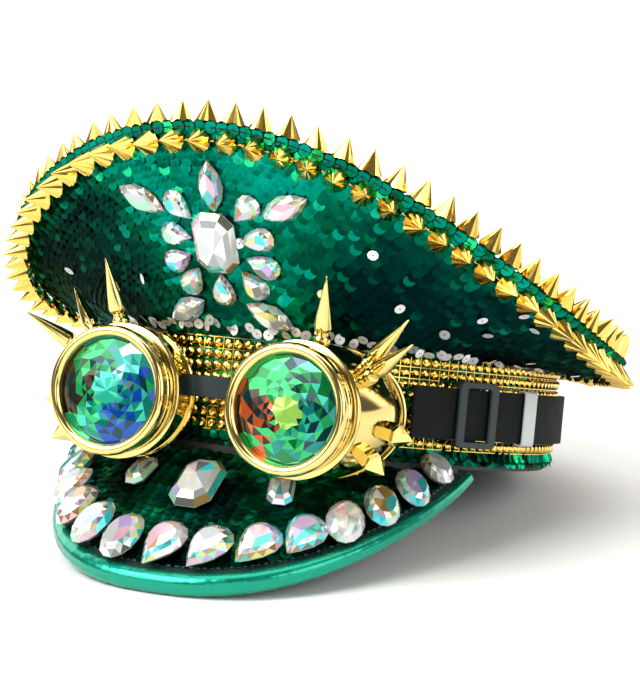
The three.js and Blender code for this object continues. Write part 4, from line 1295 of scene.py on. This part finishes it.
def make_keeper():
    """A loop that holds the strap's loose end, a little way round from the buckle."""
    t = np.array(math.radians(KEEPER["angle"]))
    tangent = unit(strap_oval(t + 1e-3) - strap_oval(t - 1e-3))
    outward = np.array([tangent[1], -tangent[0], 0])
    matrix = np.column_stack([outward, [0, 0, 1.0], np.cross(outward, [0, 0, 1.0])])
    place = strap_oval(t) + outward * STRAP["thick"] / 2
    outer, inner = (rounded_rectangle(*KEEPER[k]) for k in ("outer", "inner"))
    half = KEEPER["half_length"]
    shape = frame_ring(Shape(), outer, inner, -half, half, 0.2, matrix, place, smooth=True)
    build("strap_keeper_loop", shape, [keeper_mat], "keeper", ["strap_keeper"], 40)


# ---------------------------------------------------------------- lining

def make_lining():
    """Satin gathered from the band up to a dome under the crown's top."""
    t = full_turn(144)
    foot = [head_oval(t, BAND_TOP, out) for out in (2.2, 1.3)]
    shares = np.array([0.02, 0.15, 0.3, 0.45, 0.56, 0.64])
    gather = 0.25 * np.sin(48 * t)
    dome = [crown_top(t, np.full_like(t, s)) - point(0, 0, 3.2 + gather * s) for s in shares]
    under = [p - [0, 0, 0.9] for p in dome]
    shape = loft(Shape(), np.stack(dome + foot + under[::-1], 1), True, smooth=True)
    lining = build("crown_lining_satin", shape, [satin_mat], "cap", ["crown_lining"], 60)


# ---------------------------------------------------------------- stage

CAMERA = {"azimuth": 24.79, "elevation": 12.29, "lean": 13.35, "distance": 1000.72, "aim_z": 40.0}
LENS = {"focal": 119.9, "shift_x": -0.0363, "shift_y": 0.0094}


def make_camera():
    azimuth, elevation, lean = (math.radians(CAMERA[k]) for k in ("azimuth", "elevation", "lean"))
    level_up = np.array([0, -math.sin(lean), math.cos(lean)])
    level_back = np.array([0, math.cos(lean), math.sin(lean)])
    right = np.array([math.cos(azimuth), 0, 0]) + math.sin(azimuth) * level_back
    flat = np.array([math.sin(azimuth), 0, 0]) - math.cos(azimuth) * level_back
    back = flat * math.cos(elevation) + level_up * math.sin(elevation)
    axes = TURN @ np.column_stack([right, np.cross(back, right), back])
    place = to_row(np.array([0, 0, CAMERA["aim_z"]]) + back * CAMERA["distance"])
    data = bpy.data.cameras.new("camera")
    data.lens = LENS["focal"]
    data.shift_x, data.shift_y = LENS["shift_x"], LENS["shift_y"]
    camera = put("camera", data)
    camera.matrix_world = Matrix.Translation(place.tolist()) @ Matrix(axes.tolist()).to_4x4()
    bpy.context.scene.camera = camera


# Soft boxes round the object: direction, inner and outer edge as cosines, and brightness.
SOFT_BOXES = [
    ((-0.55, -0.70, 0.62), 0.95, 0.88, 4.2),
    ((0.93, -0.30, 0.42), 0.96, 0.90, 3.0),
    ((0.0, 0.15, 1.0), 0.93, 0.80, 2.4),
    ((-0.85, 0.35, 0.45), 0.96, 0.91, 2.2),
    ((0.55, 0.75, 0.35), 0.95, 0.90, 2.0),
    ((0.30, -0.92, 0.22), 0.985, 0.965, 1.6),
]
AMBIENT = 0.14


def make_world():
    world = bpy.data.worlds.new("studio")
    world.use_nodes = True
    bpy.context.scene.world = world
    background = world.node_tree.nodes["Background"]
    where = node(world, "ShaderNodeTexCoord")
    total = None
    for direction, inner, outer, brightness in SOFT_BOXES:
        along = node(world, "ShaderNodeVectorMath", operation="DOT_PRODUCT")
        along.inputs[1].default_value = unit(np.array(direction)).tolist()
        wire(world, where.outputs["Generated"], along.inputs[0])
        ends = {"From Min": outer, "From Max": inner, "To Min": 0.0, "To Max": brightness}
        box = node(world, "ShaderNodeMapRange", interpolation_type="SMOOTHSTEP", **ends)
        wire(world, along.outputs["Value"], box.inputs["Value"])
        plus = node(world, "ShaderNodeMath", operation="ADD")
        plus.inputs[1].default_value = AMBIENT
        wire(world, box.outputs["Result"], plus.inputs[0])
        if total is not None:
            wire(world, total, plus.inputs[1])
        total = plus.outputs["Value"]
    wire(world, total, background.inputs["Strength"])
    background.inputs["Color"].default_value = (1, 0.99, 0.975, 1)


def make_floor():
    disc = full_turn(64)
    floor = bpy.data.meshes.new("floor")
    floor.from_pydata(point(14 * np.cos(disc), 14 * np.sin(disc), 0).tolist(), [], [list(range(64))])
    look = shader("pale_floor", (0.86, 0.86, 0.85), 0.75)
    add_bump(look, object_noise(look, 40), 0.0002, 0.2)
    floor.materials.append(look)
    put("floor", floor)


KEY_LIGHT = {"place": (-0.55, -0.85, 1.05), "aim_z": 0.1, "size": (0.9, 0.6), "watts": 11}


def make_key_light():
    data = bpy.data.lights.new("key", "AREA")
    data.shape = "RECTANGLE"
    data.size, data.size_y = KEY_LIGHT["size"]
    data.energy = KEY_LIGHT["watts"]
    light = put("key", data)
    place = Matrix.Translation(KEY_LIGHT["place"])
    back = unit(np.array(KEY_LIGHT["place"]) - [0, 0, KEY_LIGHT["aim_z"]])
    right = unit(np.cross([0, 0, 1.0], back))
    aim = Matrix(np.column_stack([right, np.cross(back, right), back]).tolist())
    light.matrix_world = place @ aim.to_4x4()


def finish_cad_nodes():
    """The pieces that lie wholly inside keep their CAD shape and get their own finish."""
    for name, material in (("visor_board", buckram_mat), ("crown_hoop", steel_mat)):
        obj = frame["nodes"][name]
        obj.data.materials.clear()
        obj.data.materials.append(material)


make_camera()
make_world()
make_floor()
make_key_light()
make_crown()
make_band()
make_studs()
make_emblem()
make_peak()
make_peak_stones()
make_goggles()
make_strap()
make_buckle()
make_keeper()
make_lining()
finish_cad_nodes()
bpy.context.scene.view_settings.view_transform = "Standard"
